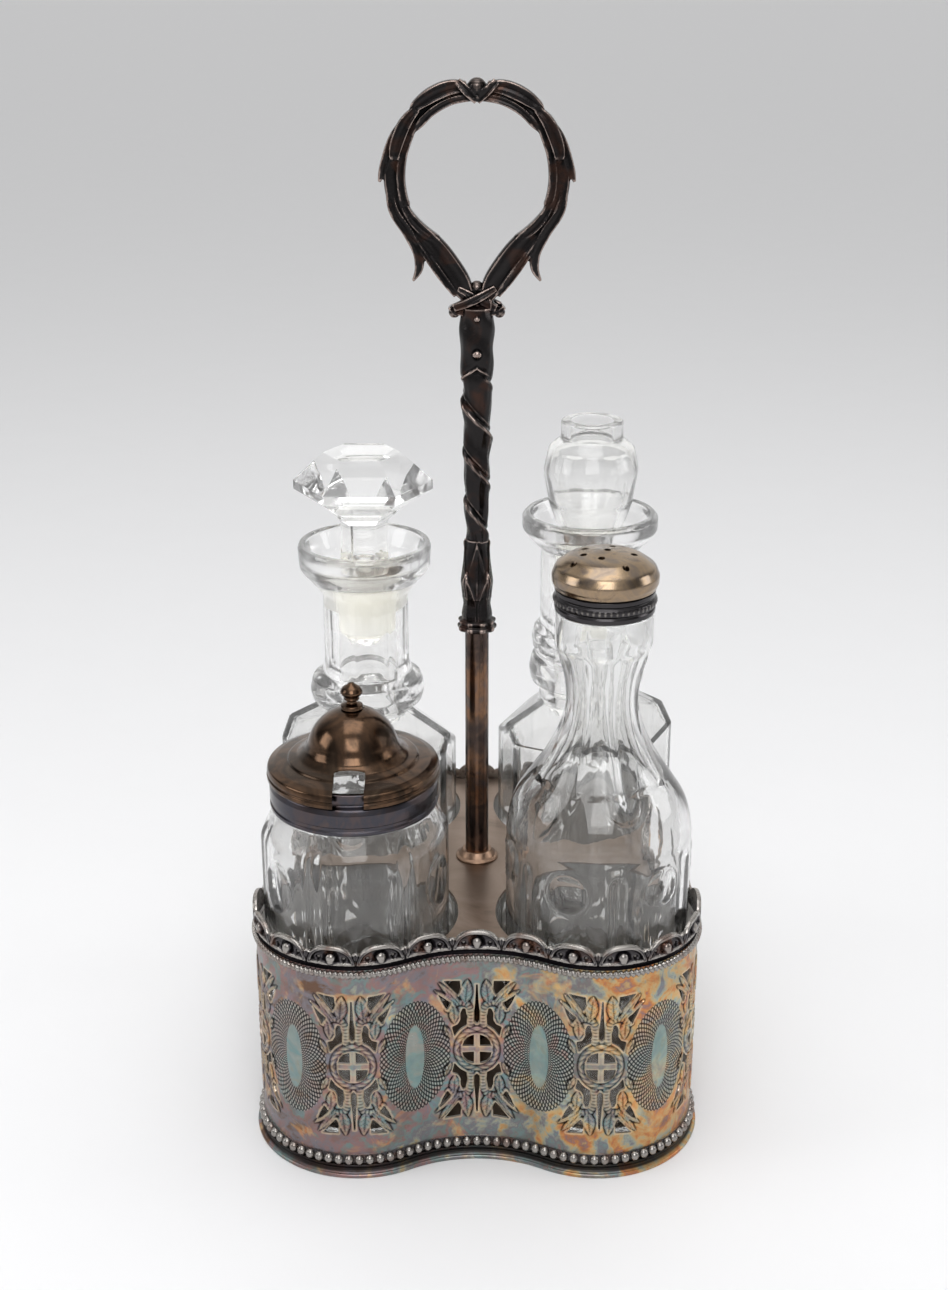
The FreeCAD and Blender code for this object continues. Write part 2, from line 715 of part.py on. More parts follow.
def handle_stem():
    """Ferrule, leafy calyx and the tapering cast stem above the tube."""
    collar = new_body("handle_ferrule")
    section = plane_sketch(collar, "handle_ferrule_plan", "XY_Plane")
    add_circle(section, "collar_radius")
    add_circle(section, "bore_radius")
    rise = pad(collar, section, "handle_ferrule_rise", "dims.collar_height")
    doc.recompute()
    rims = [edge for edge in range(1, len(rise.Shape.Edges) + 1)
            if rise.Shape.Edges[edge - 1].Curve.TypeId == "Part::GeomCircle"
            and rise.Shape.Edges[edge - 1].Curve.Radius > size_of("tube_radius")]
    soften = collar.newObject("PartDesign::Fillet", "handle_ferrule_round")
    soften.Base = (rise, ["Edge%d" % edge for edge in rims])
    soften.setExpression("Radius", "dims.collar_rounding")
    place(collar, up="dims.collar_level")
    keep(collar, "handle_ferrule")

    keep(turned("leaf_calyx", [("bore_radius", "calyx_bottom"), ("calyx_foot_radius", "calyx_bottom"),
                               ("calyx_neck_radius", "calyx_neck_level"),
                               ("calyx_bulge_radius", "calyx_bulge_level"),
                               ("calyx_top_radius", "calyx_top"), ("bore_radius", "calyx_top")]),
         "leaf_calyx")
    keep(turned("twisted_stem", [(None, "calyx_top"), ("stem_low_radius", "calyx_top"),
                                 ("stem_mid_radius", "stem_mid_level"),
                                 ("stem_high_radius", "stem_high_level"),
                                 ("stem_top_radius", "stem_top_level"),
                                 ("stem_mid_radius", "stem_cap_level"), (None, "stem_cap_level")]),
         "twisted_stem")


def binding_knot():
    """The crossed knot under the ring, with a scroll ear on each side."""
    knot = doc.addObject("Part::Box", "knot_block")
    knot.setExpression("Length", "dims.knot_width")
    knot.setExpression("Width", "dims.knot_depth")
    knot.setExpression("Height", "dims.knot_height")
    place(knot, "-dims.knot_width / 2", "-dims.knot_depth / 2", "dims.knot_bottom")
    rounded = doc.addObject("Part::Fillet", "knot_rounded")
    rounded.Base = knot
    doc.recompute()
    soft = size_of("knot_rounding")
    rounded.Edges = [(edge + 1, soft, soft) for edge in range(len(knot.Shape.Edges))]
    whole = rounded
    for side in (-1, 1):
        name = "ear_left" if side < 0 else "ear_right"
        ear = doc.addObject("Part::Cylinder", name)
        ear.setExpression("Radius", "dims.ear_radius")
        ear.setExpression("Height", "dims.ear_length")
        lie_down = FreeCAD.Rotation(FreeCAD.Vector(1, 0, 0), 90)
        ear.Placement = FreeCAD.Placement(FreeCAD.Vector(0, 0, 0), lie_down)
        place(ear, "dims.ear_offset * %d" % side, "dims.ear_length / 2", "dims.ear_level")
        whole = boolean("Fuse", "knot_with_" + name, whole, ear)
    doc.recompute()
    return keep(whole, "binding_knot")


def ring_handle(knot):
    """The loop: most of a circle with two straight arms that meet the knot in a V."""
    radius = size_of("ring_radius")
    level = size_of("ring_level")
    opening = math.radians(size_of("ring_open_angle"))
    arm = size_of("ring_arm")

    def on_ring(angle):
        return FreeCAD.Vector(radius * math.sin(angle), 0, level - radius * math.cos(angle))

    right = on_ring(opening)
    left = on_ring(-opening)
    fall = FreeCAD.Vector(-math.cos(opening), 0, -math.sin(opening)).multiply(arm)
    right_end = right.add(fall)
    left_end = FreeCAD.Vector(-right_end.x, 0, right_end.z)
    path = Part.Wire([Part.LineSegment(right_end, right).toShape(),
                      Part.Arc(right, on_ring(math.pi), left).toShape(),
                      Part.LineSegment(left, left_end).toShape()])
    along = right.sub(right_end).normalize()
    flat = FreeCAD.Vector(0, 1, 0)
    across = along.cross(flat)
    ellipse = Part.Ellipse(right_end.add(FreeCAD.Vector(across).multiply(size_of("ring_half_width"))),
                           right_end.add(FreeCAD.Vector(flat).multiply(size_of("ring_half_depth"))),
                           right_end)
    section = Part.Wire([ellipse.toShape()])
    loop = path.makePipeShell([section], True, False)
    heart = FreeCAD.Vector(0, 0, size_of("ring_heart_level"))
    pieces = [Part.makeSphere(size_of("ring_heart_radius"), heart)]
    girth = size_of("spur_radius")
    tip = size_of("spur_tip_radius")
    for side in (-1, 1):
        for spur in ("side_spur", "low_spur"):
            root = FreeCAD.Vector(side * size_of(spur + "_out"), 0, size_of(spur + "_level"))
            direction = FreeCAD.Vector(side * size_of(spur + "_lean"), 0, size_of(spur + "_rise"))
            pieces.append(Part.makeCone(girth, tip, size_of(spur + "_reach"), root, direction))
    shape = loop.fuse(pieces).cut(knot.Shape).removeSplitter()
    handle = doc.addObject("Part::Feature", "ring_handle")
    handle.Shape = shape
    handle.Placement = FreeCAD.Placement()
    keep(handle, "ring_handle")


def at_well(piece, across, back):
    """Stand a piece over one of the four wells; the signs pick the well."""
    place(piece, "dims.well_offset * %d" % across, "dims.well_offset * %d" % back)


def mustard():
    """Round glass jar with a silver collar, a domed lid with a spoon notch and its finial."""
    jar = turned("mustard_jar", [
        (None, "glass_floor"), ("jar_neck_radius", "glass_floor"), ("jar_radius", "jar_foot_level"),
        ("jar_radius", "jar_shoulder", "jar_shoulder_curve", 1), ("jar_neck_radius", "jar_neck_level"),
        ("jar_neck_radius", "jar_mouth_level"), ("jar_mouth_radius", "jar_mouth_level"),
        ("jar_mouth_radius", "jar_inner_neck"), ("jar_inner_radius", "jar_inner_shoulder"),
        ("jar_inner_radius", "jar_inner_floor"), (None, "jar_inner_floor")])
    collar = turned("mustard_collar", [
        ("mustard_collar_inner", "mustard_collar_bottom"), ("mustard_collar_radius", "mustard_collar_bottom"),
        ("mustard_collar_radius", "mustard_collar_ledge"), ("mustard_collar_neck", "mustard_collar_ledge"),
        ("mustard_collar_neck", "mustard_collar_top"), ("mustard_collar_mouth", "mustard_collar_top"),
        ("mustard_collar_mouth", "mustard_collar_seat"), ("mustard_collar_inner", "mustard_collar_seat")])
    lid = turned("mustard_lid", [
        ("lid_skirt_inner", "lid_skirt_bottom"), ("lid_radius", "lid_skirt_bottom"),
        ("lid_radius", "lid_top"), ("lid_step_radius", "lid_top"),
        ("lid_step_radius", "lid_step_top", "lid_flare_curve", -1),
        ("lid_dome_radius", "lid_dome_foot", "on_axis", 1), (None, "lid_dome_top"),
        (None, "lid_inner_top", "on_axis", -1), ("lid_inner_dome", "lid_dome_foot"),
        ("lid_inner_flare", "lid_underside"),
        ("lid_skirt_inner", "lid_underside")])
    slot = plane_sketch(lid, "notch_plan", "XY_Plane")
    half = size_of("notch_width") / 2
    near = -size_of("notch_outer")
    far = -size_of("notch_inner")
    corners = [FreeCAD.Vector(*spot, 0) for spot in ((-half, near), (half, near), (half, far), (-half, far))]
    for index in range(4):
        slot.addGeometry(Part.LineSegment(corners[index], corners[(index + 1) % 4]), False)
    for index in range(4):
        slot.addConstraint(Sketcher.Constraint("Coincident", index, 2, (index + 1) % 4, 1))
    for index, kind in ((1, "Vertical"), (2, "Horizontal"), (3, "Vertical")):
        slot.addConstraint(Sketcher.Constraint(kind, index))
    slot.addConstraint(Sketcher.Constraint("Symmetric", 0, 1, 0, 2, -2))
    bind(slot, Sketcher.Constraint("DistanceX", 0, 1, 0, 2, size_of("notch_width")), "dims.notch_width")
    bind(slot, Sketcher.Constraint("DistanceY", 0, 1, -1, 1, size_of("notch_outer")), "dims.notch_outer")
    bind(slot, Sketcher.Constraint("DistanceY", 2, 1, -1, 1, size_of("notch_inner")), "dims.notch_inner")
    notch = lid.newObject("PartDesign::Pocket", "spoon_notch")
    notch.Profile = slot
    notch.Reversed = True
    notch.setExpression("Length", "dims.notch_depth")
    finial = turned("lid_finial", [
        (None, "finial_level"), ("finial_disc_radius", "finial_level"),
        ("finial_disc_radius", "finial_disc_top"), ("finial_waist_radius", "finial_waist_level"),
        ("finial_ball_radius", "finial_ball_level"), ("finial_tip_radius", "finial_tip_level"),
        (None, "finial_tip_level")])
    for name, piece in (("mustard_jar", jar), ("mustard_collar", collar), ("mustard_lid", lid),
                        ("lid_finial", finial)):
        at_well(piece, -1, -1)
        keep(piece, name)


def pepper():
    """Waisted glass bottle with a beaded collar and a pierced domed cap."""
    bottle = turned("pepper_bottle", [
        (None, "glass_floor"), ("jar_neck_radius", "glass_floor"), ("jar_radius", "jar_foot_level"),
        ("jar_radius", "pepper_shoulder", "pepper_shoulder_curve", 1),
        ("pepper_slope_radius", "pepper_slope_level", "pepper_neck_curve", -1),
        ("pepper_neck_radius", "pepper_neck_level"), ("pepper_throat_radius", "pepper_throat_level"),
        ("pepper_throat_radius", "pepper_collar_seat"), ("pepper_rim_radius", "pepper_collar_seat"),
        ("pepper_rim_radius", "pepper_rim_level"), ("pepper_mouth_radius", "pepper_rim_level"),
        ("pepper_inner_neck", "pepper_inner_neck_level", "pepper_inner_curve", 1),
        ("pepper_inner_slope", "pepper_inner_slope_level"), ("jar_inner_radius", "pepper_inner_shoulder"),
        ("jar_inner_radius", "jar_inner_floor"), (None, "jar_inner_floor")])
    collar = turned("pepper_collar", [
        ("pepper_collar_inner", "pepper_collar_bottom"), ("pepper_collar_radius", "pepper_collar_bottom"),
        ("pepper_collar_radius", "pepper_bead_low"), ("pepper_bead_radius", "pepper_bead_level"),
        ("pepper_collar_radius", "pepper_bead_high"), ("pepper_collar_radius", "pepper_collar_top"),
        ("pepper_spigot_radius", "pepper_collar_top"), ("pepper_spigot_radius", "pepper_spigot_top"),
        ("pepper_spigot_inner", "pepper_spigot_top"), ("pepper_spigot_inner", "pepper_rim_seat"),
        ("pepper_collar_inner", "pepper_rim_seat")])
    cap = turned("pepper_cap", [
        ("cap_inner_radius", "cap_bottom"), ("cap_foot_radius", "cap_bottom"),
        ("cap_radius", "cap_wide_level", "cap_edge_curve", 1),
        ("cap_edge_radius", "cap_edge_level", "on_axis", 1), (None, "cap_top"),
        (None, "cap_inner_top"), ("cap_inner_edge_radius", "cap_inner_edge_level"),
        ("cap_inner_radius", "cap_wide_level")])
    for name, ring_cell in (("inner", "sprinkle_inner_ring"), ("outer", "sprinkle_outer_ring")):
        plan = plane_sketch(cap, "sprinkle_%s_plan" % name, "XY_Plane")
        add_circle(plan, "sprinkle_radius", ring_cell)
        hole = cap.newObject("PartDesign::Pocket", "sprinkle_%s_hole" % name)
        hole.Profile = plan
        hole.Type = "ThroughAll"
        hole.Reversed = True
        ring = cap.newObject("PartDesign::PolarPattern", "sprinkle_%s_holes" % name)
        ring.Originals = [hole]
        ring.Axis = (plan, ["N_Axis"])
        ring.Angle = 360.0
        ring.Occurrences = int(size_of("sprinkle_%s_count" % name))
        cap.Tip = ring
    middle_plan = plane_sketch(cap, "sprinkle_middle_plan", "XY_Plane")
    add_circle(middle_plan, "sprinkle_radius")
    middle = cap.newObject("PartDesign::Pocket", "sprinkle_middle_hole")
    middle.Profile = middle_plan
    middle.Type = "ThroughAll"
    middle.Reversed = True
    cap.Tip = middle
    for name, piece in (("pepper_bottle", bottle), ("pepper_collar", collar), ("pepper_cap", cap)):
        at_well(piece, 1, -1)
        keep(piece, name)


def cut_corner_glass(name, half, cut, shoulder, shoulder_top, top_half, turn):
    """Square block with cut corners and four flat sloping shoulders."""
    turn_degrees = size_of(turn)
    low = box(name + "_square", "dims." + half, "dims.%s - dims.glass_floor" % shoulder, turn_degrees + 45,
              "dims.glass_floor")
    slope = doc.addObject("Part::Wedge", name + "_slope")
    for prop, words in (("Xmin", "-dims." + half), ("Xmax", "dims." + half), ("Zmin", "-dims." + half),
                        ("Zmax", "dims." + half), ("X2min", "-dims." + top_half),
                        ("X2max", "dims." + top_half), ("Z2min", "-dims." + top_half),
                        ("Z2max", "dims." + top_half)):
        slope.setExpression(prop, words)
    slope.setExpression("Ymax", "dims.%s - dims.%s" % (shoulder_top, shoulder))
    upright = FreeCAD.Rotation(FreeCAD.Vector(1, 0, 0), 90)
    spin = FreeCAD.Rotation(FreeCAD.Vector(0, 0, 1), turn_degrees + 45)
    slope.Placement = FreeCAD.Placement(FreeCAD.Vector(0, 0, 0), spin.multiply(upright))
    place(slope, up="dims." + shoulder)
    whole = boolean("Fuse", name + "_block", low, slope)
    corners = box(name + "_corners", "dims." + cut, "dims." + shoulder_top, turn_degrees)
    return boolean("Common", name + "_body", whole, corners)


def finish_bottle(name, block, neck_outline, cavity_outline, across, back):
    """Join a turned neck to a glass block, hollow it out and stand it in its well."""
    neck = turned(name + "_neck", neck_outline)
    joined = boolean("Fuse", name + "_solid", block, neck)
    cavity = turned(name + "_cavity", cavity_outline)
    bottle = boolean("Cut", name, joined, cavity)
    at_well(bottle, across, back)
    keep(bottle, name)


def oil():
    """Cut-corner bottle with a ringed neck, a dished lip and a faceted stopper."""
    block = cut_corner_glass("oil", "square_half", "cut_half", "oil_shoulder", "oil_shoulder_top",
                             "oil_top_half", "oil_turn")
    finish_bottle("oil_bottle", block, [
        (None, "oil_inner_shoulder"), ("oil_neck_radius", "oil_inner_shoulder"),
        ("oil_neck_radius", "oil_ring_bottom", "oil_ring_curve", 1), ("oil_neck_radius", "oil_ring_top"),
        ("oil_neck_radius", "oil_neck_top"), ("oil_lip_low_radius", "oil_lip_low_level"),
        ("oil_lip_radius", "oil_lip_level"), ("oil_lip_radius", "oil_lip_top"),
        ("oil_lip_inner_radius", "oil_lip_top"), ("oil_dish_radius", "oil_dish_level"),
        (None, "oil_dish_level")], [
        (None, "jar_inner_floor"), ("oil_inner_radius", "jar_inner_floor"),
        ("oil_inner_radius", "oil_inner_shoulder"), ("oil_bore_low", "oil_inner_neck"),
        ("oil_bore_low", "oil_bore_level"), ("oil_bore_top", "oil_dish_level"),
        ("oil_bore_top", "oil_lip_top"), (None, "oil_lip_top")], -1, 1)
    rings = []
    for number, (radius, level) in enumerate((("oil_stem_radius", "oil_stem_low"),
                                              ("oil_stem_radius", "oil_stem_top"),
                                              ("oil_head_radius", "oil_head_low"),
                                              ("oil_head_radius", "oil_head_high"),
                                              ("oil_table_radius", "oil_table_level"))):
        ring = doc.addObject("Part::RegularPolygon", "oil_head_ring_%d" % number)
        ring.Polygon = 6
        ring.setExpression("Circumradius", "dims." + radius)
        place(ring, up="dims." + level)
        rings.append(ring)
    head = doc.addObject("Part::Loft", "oil_head")
    head.Sections = rings
    head.Solid = True
    head.Ruled = True
    plug = turned("oil_plug", [
        (None, "plug_end_level"), ("plug_end_radius", "plug_end_level"),
        ("plug_low_radius", "plug_low_level"), ("plug_top_radius", "plug_top_level"),
        ("oil_stem_radius", "oil_stem_low"), (None, "oil_stem_low")])
    stopper = boolean("Fuse", "oil_stopper", plug, head)
    at_well(stopper, -1, 1)
    keep(stopper, "oil_stopper")


def vinegar():
    """Cut-corner bottle with two neck bulges, a rolled lip and a hollow blown stopper."""
    block = cut_corner_glass("vinegar", "vinegar_square_half", "vinegar_cut_half", "vinegar_shoulder",
                             "vinegar_shoulder_top", "vinegar_top_half", "vinegar_turn")
    finish_bottle("vinegar_bottle", block, [
        (None, "vinegar_inner_shoulder"), ("vinegar_neck_radius", "vinegar_inner_shoulder"),
        ("vinegar_neck_radius", "vinegar_bulge_bottom"), ("vinegar_bulge_radius", "vinegar_bulge_level"),
        ("vinegar_waist_radius", "vinegar_bulge_top"), ("vinegar_ring_radius", "vinegar_ring_level"),
        ("vinegar_neck_radius", "vinegar_ring_top"), ("vinegar_neck_radius", "vinegar_neck_top"),
        ("vinegar_lip_low_radius", "vinegar_lip_low_level"), ("vinegar_lip_radius", "vinegar_lip_mid"),
        ("vinegar_lip_radius", "vinegar_lip_high"), ("vinegar_lip_top_radius", "vinegar_lip_top"),
        ("vinegar_dish_radius", "vinegar_dish_level"), (None, "vinegar_dish_level")], [
        (None, "jar_inner_floor"), ("vinegar_inner_radius", "jar_inner_floor"),
        ("vinegar_inner_radius", "vinegar_inner_shoulder"), ("vinegar_bore_low", "vinegar_inner_neck"),
        ("vinegar_bore_low", "vinegar_bore_level"), ("vinegar_bore_top", "vinegar_dish_level"),
        ("vinegar_bore_top", "vinegar_lip_top"), (None, "vinegar_lip_top")], 1, 1)
    stopper = turned("vinegar_stopper", [
        (None, "bulb_plug_end"), ("bulb_plug_low_radius", "bulb_plug_end"),
        ("bulb_plug_top_radius", "bulb_plug_top"), ("bulb_throat_radius", "bulb_throat_level"),
        ("bulb_low_radius", "bulb_low_level"), ("bulb_radius", "bulb_level"),
        ("bulb_high_radius", "bulb_high_level"), ("bulb_rim_radius", "bulb_rim_level"),
        ("bulb_rim_radius", "bulb_rim_top"), ("bulb_mouth_radius", "bulb_rim_top"),
        ("bulb_mouth_radius", "bulb_mouth_level"), ("bulb_inner_high_radius", "bulb_inner_high"),
        ("bulb_inner_radius", "bulb_inner_level"), ("bulb_inner_low_radius", "bulb_inner_low"),
        ("bulb_inner_floor_radius", "bulb_inner_floor"), (None, "bulb_inner_floor")])
    at_well(stopper, 1, 1)
    keep(stopper, "vinegar_stopper")


def check_and_export():
    """Stop on any failed object, then write each sub-part to its own file."""
    doc.recompute()
    for item in doc.Objects:
        if "Invalid" in item.State or "Error" in item.State:
            raise RuntimeError("%s is %s" % (item.Name, item.State))
    os.makedirs("parts", exist_ok=True)
    for name, piece in parts:
        shape = piece.Shape
        if shape.isNull() or not shape.isValid() or not shape.Solids:
            raise RuntimeError("%s has no valid solid" % name)
        shape.exportStep("parts/%s.step" % name)
        print("%-18s volume %9.1f mm3, %d solid(s), %d faces"
              % (name, shape.Volume, len(shape.Solids), len(shape.Faces)))


base_and_foot()
gallery()
top_plate()
post()
handle_stem()
ring_handle(binding_knot())
mustard()
pepper()
oil()
vinegar()
check_and_export()
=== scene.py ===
import math

import bpy
import numpy as np
from mathutils.geometry import delaunay_2d_cdt
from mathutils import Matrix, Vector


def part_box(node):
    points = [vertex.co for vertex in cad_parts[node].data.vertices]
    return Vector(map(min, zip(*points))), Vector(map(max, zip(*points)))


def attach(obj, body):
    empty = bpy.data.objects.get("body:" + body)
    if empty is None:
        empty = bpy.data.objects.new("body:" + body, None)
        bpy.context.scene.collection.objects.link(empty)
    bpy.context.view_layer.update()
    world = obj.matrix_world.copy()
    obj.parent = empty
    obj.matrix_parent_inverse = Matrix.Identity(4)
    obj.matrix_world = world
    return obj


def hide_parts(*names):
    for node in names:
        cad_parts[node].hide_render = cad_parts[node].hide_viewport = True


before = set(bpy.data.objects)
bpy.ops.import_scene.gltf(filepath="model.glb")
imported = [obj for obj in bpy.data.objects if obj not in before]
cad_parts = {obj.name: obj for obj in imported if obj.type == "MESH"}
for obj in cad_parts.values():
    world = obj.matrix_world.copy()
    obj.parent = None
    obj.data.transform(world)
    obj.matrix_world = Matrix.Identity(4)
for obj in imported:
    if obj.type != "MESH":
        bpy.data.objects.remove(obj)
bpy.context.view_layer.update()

# Looks of the cruet set. Work is in millimetres in the CAD frame (+X right, +Y back, +Z up)
# and is turned into metres when a mesh is made.
MM = 0.001
FULL_TURN = 2 * math.pi


def box_of(node):
    """Lowest and highest corner of a CAD node, in mm."""
    low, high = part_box(node)
    return np.array(low) / MM, np.array(high) / MM


def levels_of(node):
    """Heights of a CAD node's underside and top, in mm."""
    low, high = box_of(node)
    return low[2], high[2]


# Driving sizes: those read from the frame, the distance from a waist's centre to a lobe's, and counts
WALL_LOW, WALL_HIGH = box_of("gallery_wall")
JAR_LOW, JAR_HIGH = box_of("mustard_jar")
WELL = abs(JAR_LOW[0] + JAR_HIGH[0]) / 2
WALL_RADIUS = WALL_HIGH[0] - WELL
WAIST_SPAN = 62.74
MOTIFS = 13
SCALLOPS = 34
MOTIF_LEVEL = (WALL_LOW[2] + WALL_HIGH[2]) / 2 + 0.5
JAR_RADIUS = (JAR_HIGH[0] - JAR_LOW[0]) / 2


# ---------------------------------------------------------------- mesh tools

def loose_object(name, mesh_parts):
    """An object made from points and faces in mm, with no body yet."""
    points, faces = mesh_parts
    mesh = bpy.data.meshes.new(name)
    mesh.from_pydata(np.asarray(points, float) * MM, [], faces)
    mesh.update()
    piece = bpy.data.objects.new(name, mesh)
    bpy.context.scene.collection.objects.link(piece)
    return piece


def dress(piece, body, materials, stands_for, sharp=40.0):
    """Give a piece its materials, shading and body, and hide the CAD node that it stands for."""
    for material in materials:
        piece.data.materials.append(material)
    piece.data.shade_smooth()
    piece.data.set_sharp_from_angle(angle=math.radians(sharp))
    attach(piece, body)
    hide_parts(stands_for)
    return piece


def add_piece(name, mesh_parts, body, materials, stands_for, sharp=40.0):
    """Make a piece from points and faces in mm, and let it ride on its body."""
    return dress(loose_object(name, mesh_parts), body, materials, stands_for, sharp)


def join_parts(parts):
    """One set of points and faces from several."""
    points = []
    faces = []
    start = 0
    for some_points, some_faces in parts:
        points.append(np.asarray(some_points, float))
        faces.extend([tuple(corner + start for corner in face) for face in some_faces])
        start += len(some_points)
    return np.concatenate(points), faces


def baked(piece):
    """Replace a piece's mesh by what its modifiers make of it."""
    graph = bpy.context.evaluated_depsgraph_get()
    mesh = bpy.data.meshes.new_from_object(piece.evaluated_get(graph))
    piece.modifiers.clear()
    piece.data = mesh
    return piece


def fused(name, mesh_parts, voxel, smoothing=2):
    """Overlapping closed parts grown together into one cast skin."""
    piece = loose_object(name, mesh_parts)
    remesh = piece.modifiers.new("grow_together", "REMESH")
    remesh.mode = "VOXEL"
    remesh.voxel_size = voxel * MM
    soften = piece.modifiers.new("soften", "SMOOTH")
    soften.factor = 0.5
    soften.iterations = smoothing
    return baked(piece)


def pierced(piece, cutter_parts):
    """Cut a set of closed shapes out of a piece."""
    cutter = loose_object(piece.name + "_cutter", cutter_parts)
    cut = piece.modifiers.new("pierce", "BOOLEAN")
    cut.operation = "DIFFERENCE"
    cut.solver = "EXACT"
    cut.object = cutter
    baked(piece)
    bpy.data.objects.remove(cutter)
    return piece


def store(piece, name, values):
    """Keep a number or a vector for each of a piece's points, for the materials."""
    values = np.asarray(values, np.float32)
    kind, key = ("FLOAT", "value") if values.ndim == 1 else ("FLOAT_VECTOR", "vector")
    attribute = piece.data.attributes.new(name, kind, "POINT")
    attribute.data.foreach_set(key, values.ravel())


def mark_wear_and_shading(piece, reach=0.12, passes=6):
    """Store how far each point stands proud of its neighbours, from 0 hollow to 1 edge; the materials paint
    tarnish with painted shade in the hollows and rubbed metal with a painted highlight on the edges from it.
    """
    mesh = piece.data
    count = len(mesh.vertices)
    spots = np.zeros(count * 3)
    mesh.vertices.foreach_get("co", spots)
    spots = spots.reshape(-1, 3) / MM
    normals = np.zeros(count * 3)
    mesh.vertices.foreach_get("normal", normals)
    normals = normals.reshape(-1, 3)
    edges = np.zeros(len(mesh.edges) * 2, int)
    mesh.edges.foreach_get("vertices", edges)
    first, second = edges.reshape(-1, 2).T
    number = np.bincount(np.concatenate([first, second]), minlength=count).clip(1)

    def spread(values):
        total = np.bincount(first, values[second], count) + np.bincount(second, values[first], count)
        return total / number

    blurred = spots.copy()
    for _ in range(passes):
        blurred = np.stack([spread(blurred[:, axis]) for axis in range(3)], 1)
    proud = ((spots - blurred) * normals).sum(1)
    for _ in range(2):
        proud = 0.5 * proud + 0.5 * spread(proud)
    store(piece, "wear_and_shading", np.clip(0.5 + 0.5 * proud / reach, 0, 1))


def mark_ground(piece, centre, low, high, inner=0.0, outer=math.inf):
    """Give the second material to faces between two heights and two distances from the piece's axis."""
    for face in piece.data.polygons:
        x, y, z = face.center / MM
        if low < z < high and inner < math.hypot(x - centre[0], y - centre[1]) < outer:
            face.material_index = 1


# ------------------------------------------------------------ outlines

def smooth_step(low, high, value):
    """0 below low, 1 above high, smooth between."""
    share = np.clip((value - low) / (high - low), 0, 1)
    return share * share * (3 - 2 * share)


def bump(value, width):
    """A round hump of height 1 at 0, gone at the width."""
    share = np.clip(np.abs(value) / width, 0, 1)
    return (1 - share * share) ** 2


def spaced(path, step):
    """The same path with more points on its long edges."""
    made = [path[0]]
    for start, end in zip(path[:-1], path[1:]):
        count = max(1, int(math.ceil(np.linalg.norm(end - start) / step)))
        made.extend(start + (end - start) * k / count for k in range(1, count + 1))
    return np.array(made)


def rounded(corners, step=1.0, closed=False):
    """A path through (across, up, rounding) corners, with an arc at each rounding."""
    spots = [np.array(corner[:2], float) for corner in corners]
    count = len(corners)
    path = []
    for index, corner in enumerate(corners):
        radius = corner[2] if len(corner) > 2 else 0.0
        here = spots[index]
        if radius == 0 or (not closed and index in (0, count - 1)):
            path.append(here)
            continue
        back = spots[index - 1] - here
        ahead = spots[(index + 1) % count] - here
        room = min(np.linalg.norm(back), np.linalg.norm(ahead)) * 0.499
        back = back / np.linalg.norm(back)
        ahead = ahead / np.linalg.norm(ahead)
        half = math.acos(np.clip(back @ ahead, -1, 1)) / 2
        if half > math.pi / 2 - 0.01:
            path.append(here)
            continue
        reach = min(radius / math.tan(half), room)
        middle = (back + ahead) / np.linalg.norm(back + ahead)
        centre = here + middle * reach / math.cos(half)
        start = here + back * reach - centre
        end = here + ahead * reach - centre
        swing = math.pi - 2 * half
        pieces = max(3, int(math.ceil(math.degrees(swing) / 11)))
        for k in range(pieces + 1):
            share = k / pieces
            spot = (math.sin((1 - share) * swing) * start + math.sin(share * swing) * end) / math.sin(swing)
            path.append(centre + spot)
    if closed:
        path.append(path[0])
    path = spaced(path, step)
    return path[:-1] if closed else path


def turned(outer, inner=None, sides=96, outer_shape=None, inner_shape=None, centre=(0.0, 0.0)):
    """A closed solid turned about an upright axis from (radius, height) paths, bottom to top.

    With an inner path the solid is a shell; without one its ends are on the axis.
    A shape function gives the true radius from radius, height and angle.
    """
    path = np.asarray(outer, float)
    inner_from = len(path)
    if inner is not None:
        path = np.concatenate([path, np.asarray(inner, float)[::-1]])
    angles = np.arange(sides) * FULL_TURN / sides
    radius = np.repeat(path[:, 0:1], sides, 1)
    height = np.repeat(path[:, 1:2], sides, 1)
    turn = np.repeat(angles[None, :], len(path), 0)
    for shape, rows in ((outer_shape, slice(0, inner_from)), (inner_shape, slice(inner_from, None))):
        if shape is not None and radius[rows].size:
            radius[rows] = np.where(radius[rows] > 1e-6, shape(radius[rows], height[rows], turn[rows]), 0)
    points = np.stack([centre[0] + radius * np.cos(turn), centre[1] + radius * np.sin(turn), height], 2)
    points = points.reshape(-1, 3)
    on_axis = path[:, 0] < 1e-6
    faces = []
    count = len(path)
    for row in range(count):
        upper = (row + 1) % count
        if on_axis[row] and on_axis[upper]:
            continue
        for k in range(sides):
            after = (k + 1) % sides
            a, b = row * sides + k, row * sides + after
            c, d = upper * sides + after, upper * sides + k
            if on_axis[row]:
                faces.append((row * sides, c, d))
            elif on_axis[upper]:
                faces.append((a, b, upper * sides))
            else:
                faces.append((a, b, c, d))
    return tidy_parts(points, faces)


def tidy_parts(points, faces):
    """Drop the points that no face uses."""
    used = np.zeros(len(points), bool)
    for face in faces:
        for corner in face:
            used[corner] = True
    new_place = np.cumsum(used) - 1
    return points[used], [tuple(int(new_place[corner]) for corner in face) for face in faces]


# ------------------------------------------------------------ the gallery's outline

# Four round lobes joined by hollow waists. Reach is from the middle to a waist's centre, and swing is the
# angle of a waist's arc on each side of its own middle.
REACH = WELL + math.sqrt(WAIST_SPAN ** 2 - WELL ** 2)
SWING = math.asin(WELL / WAIST_SPAN)
WAIST_RADIUS = WAIST_SPAN - WALL_RADIUS
WAIST_LENGTH = WAIST_RADIUS * SWING
LOBE_LENGTH = WALL_RADIUS * (math.pi / 2 + 2 * SWING)
QUARTER = 2 * WAIST_LENGTH + LOBE_LENGTH
AROUND = 4 * QUARTER


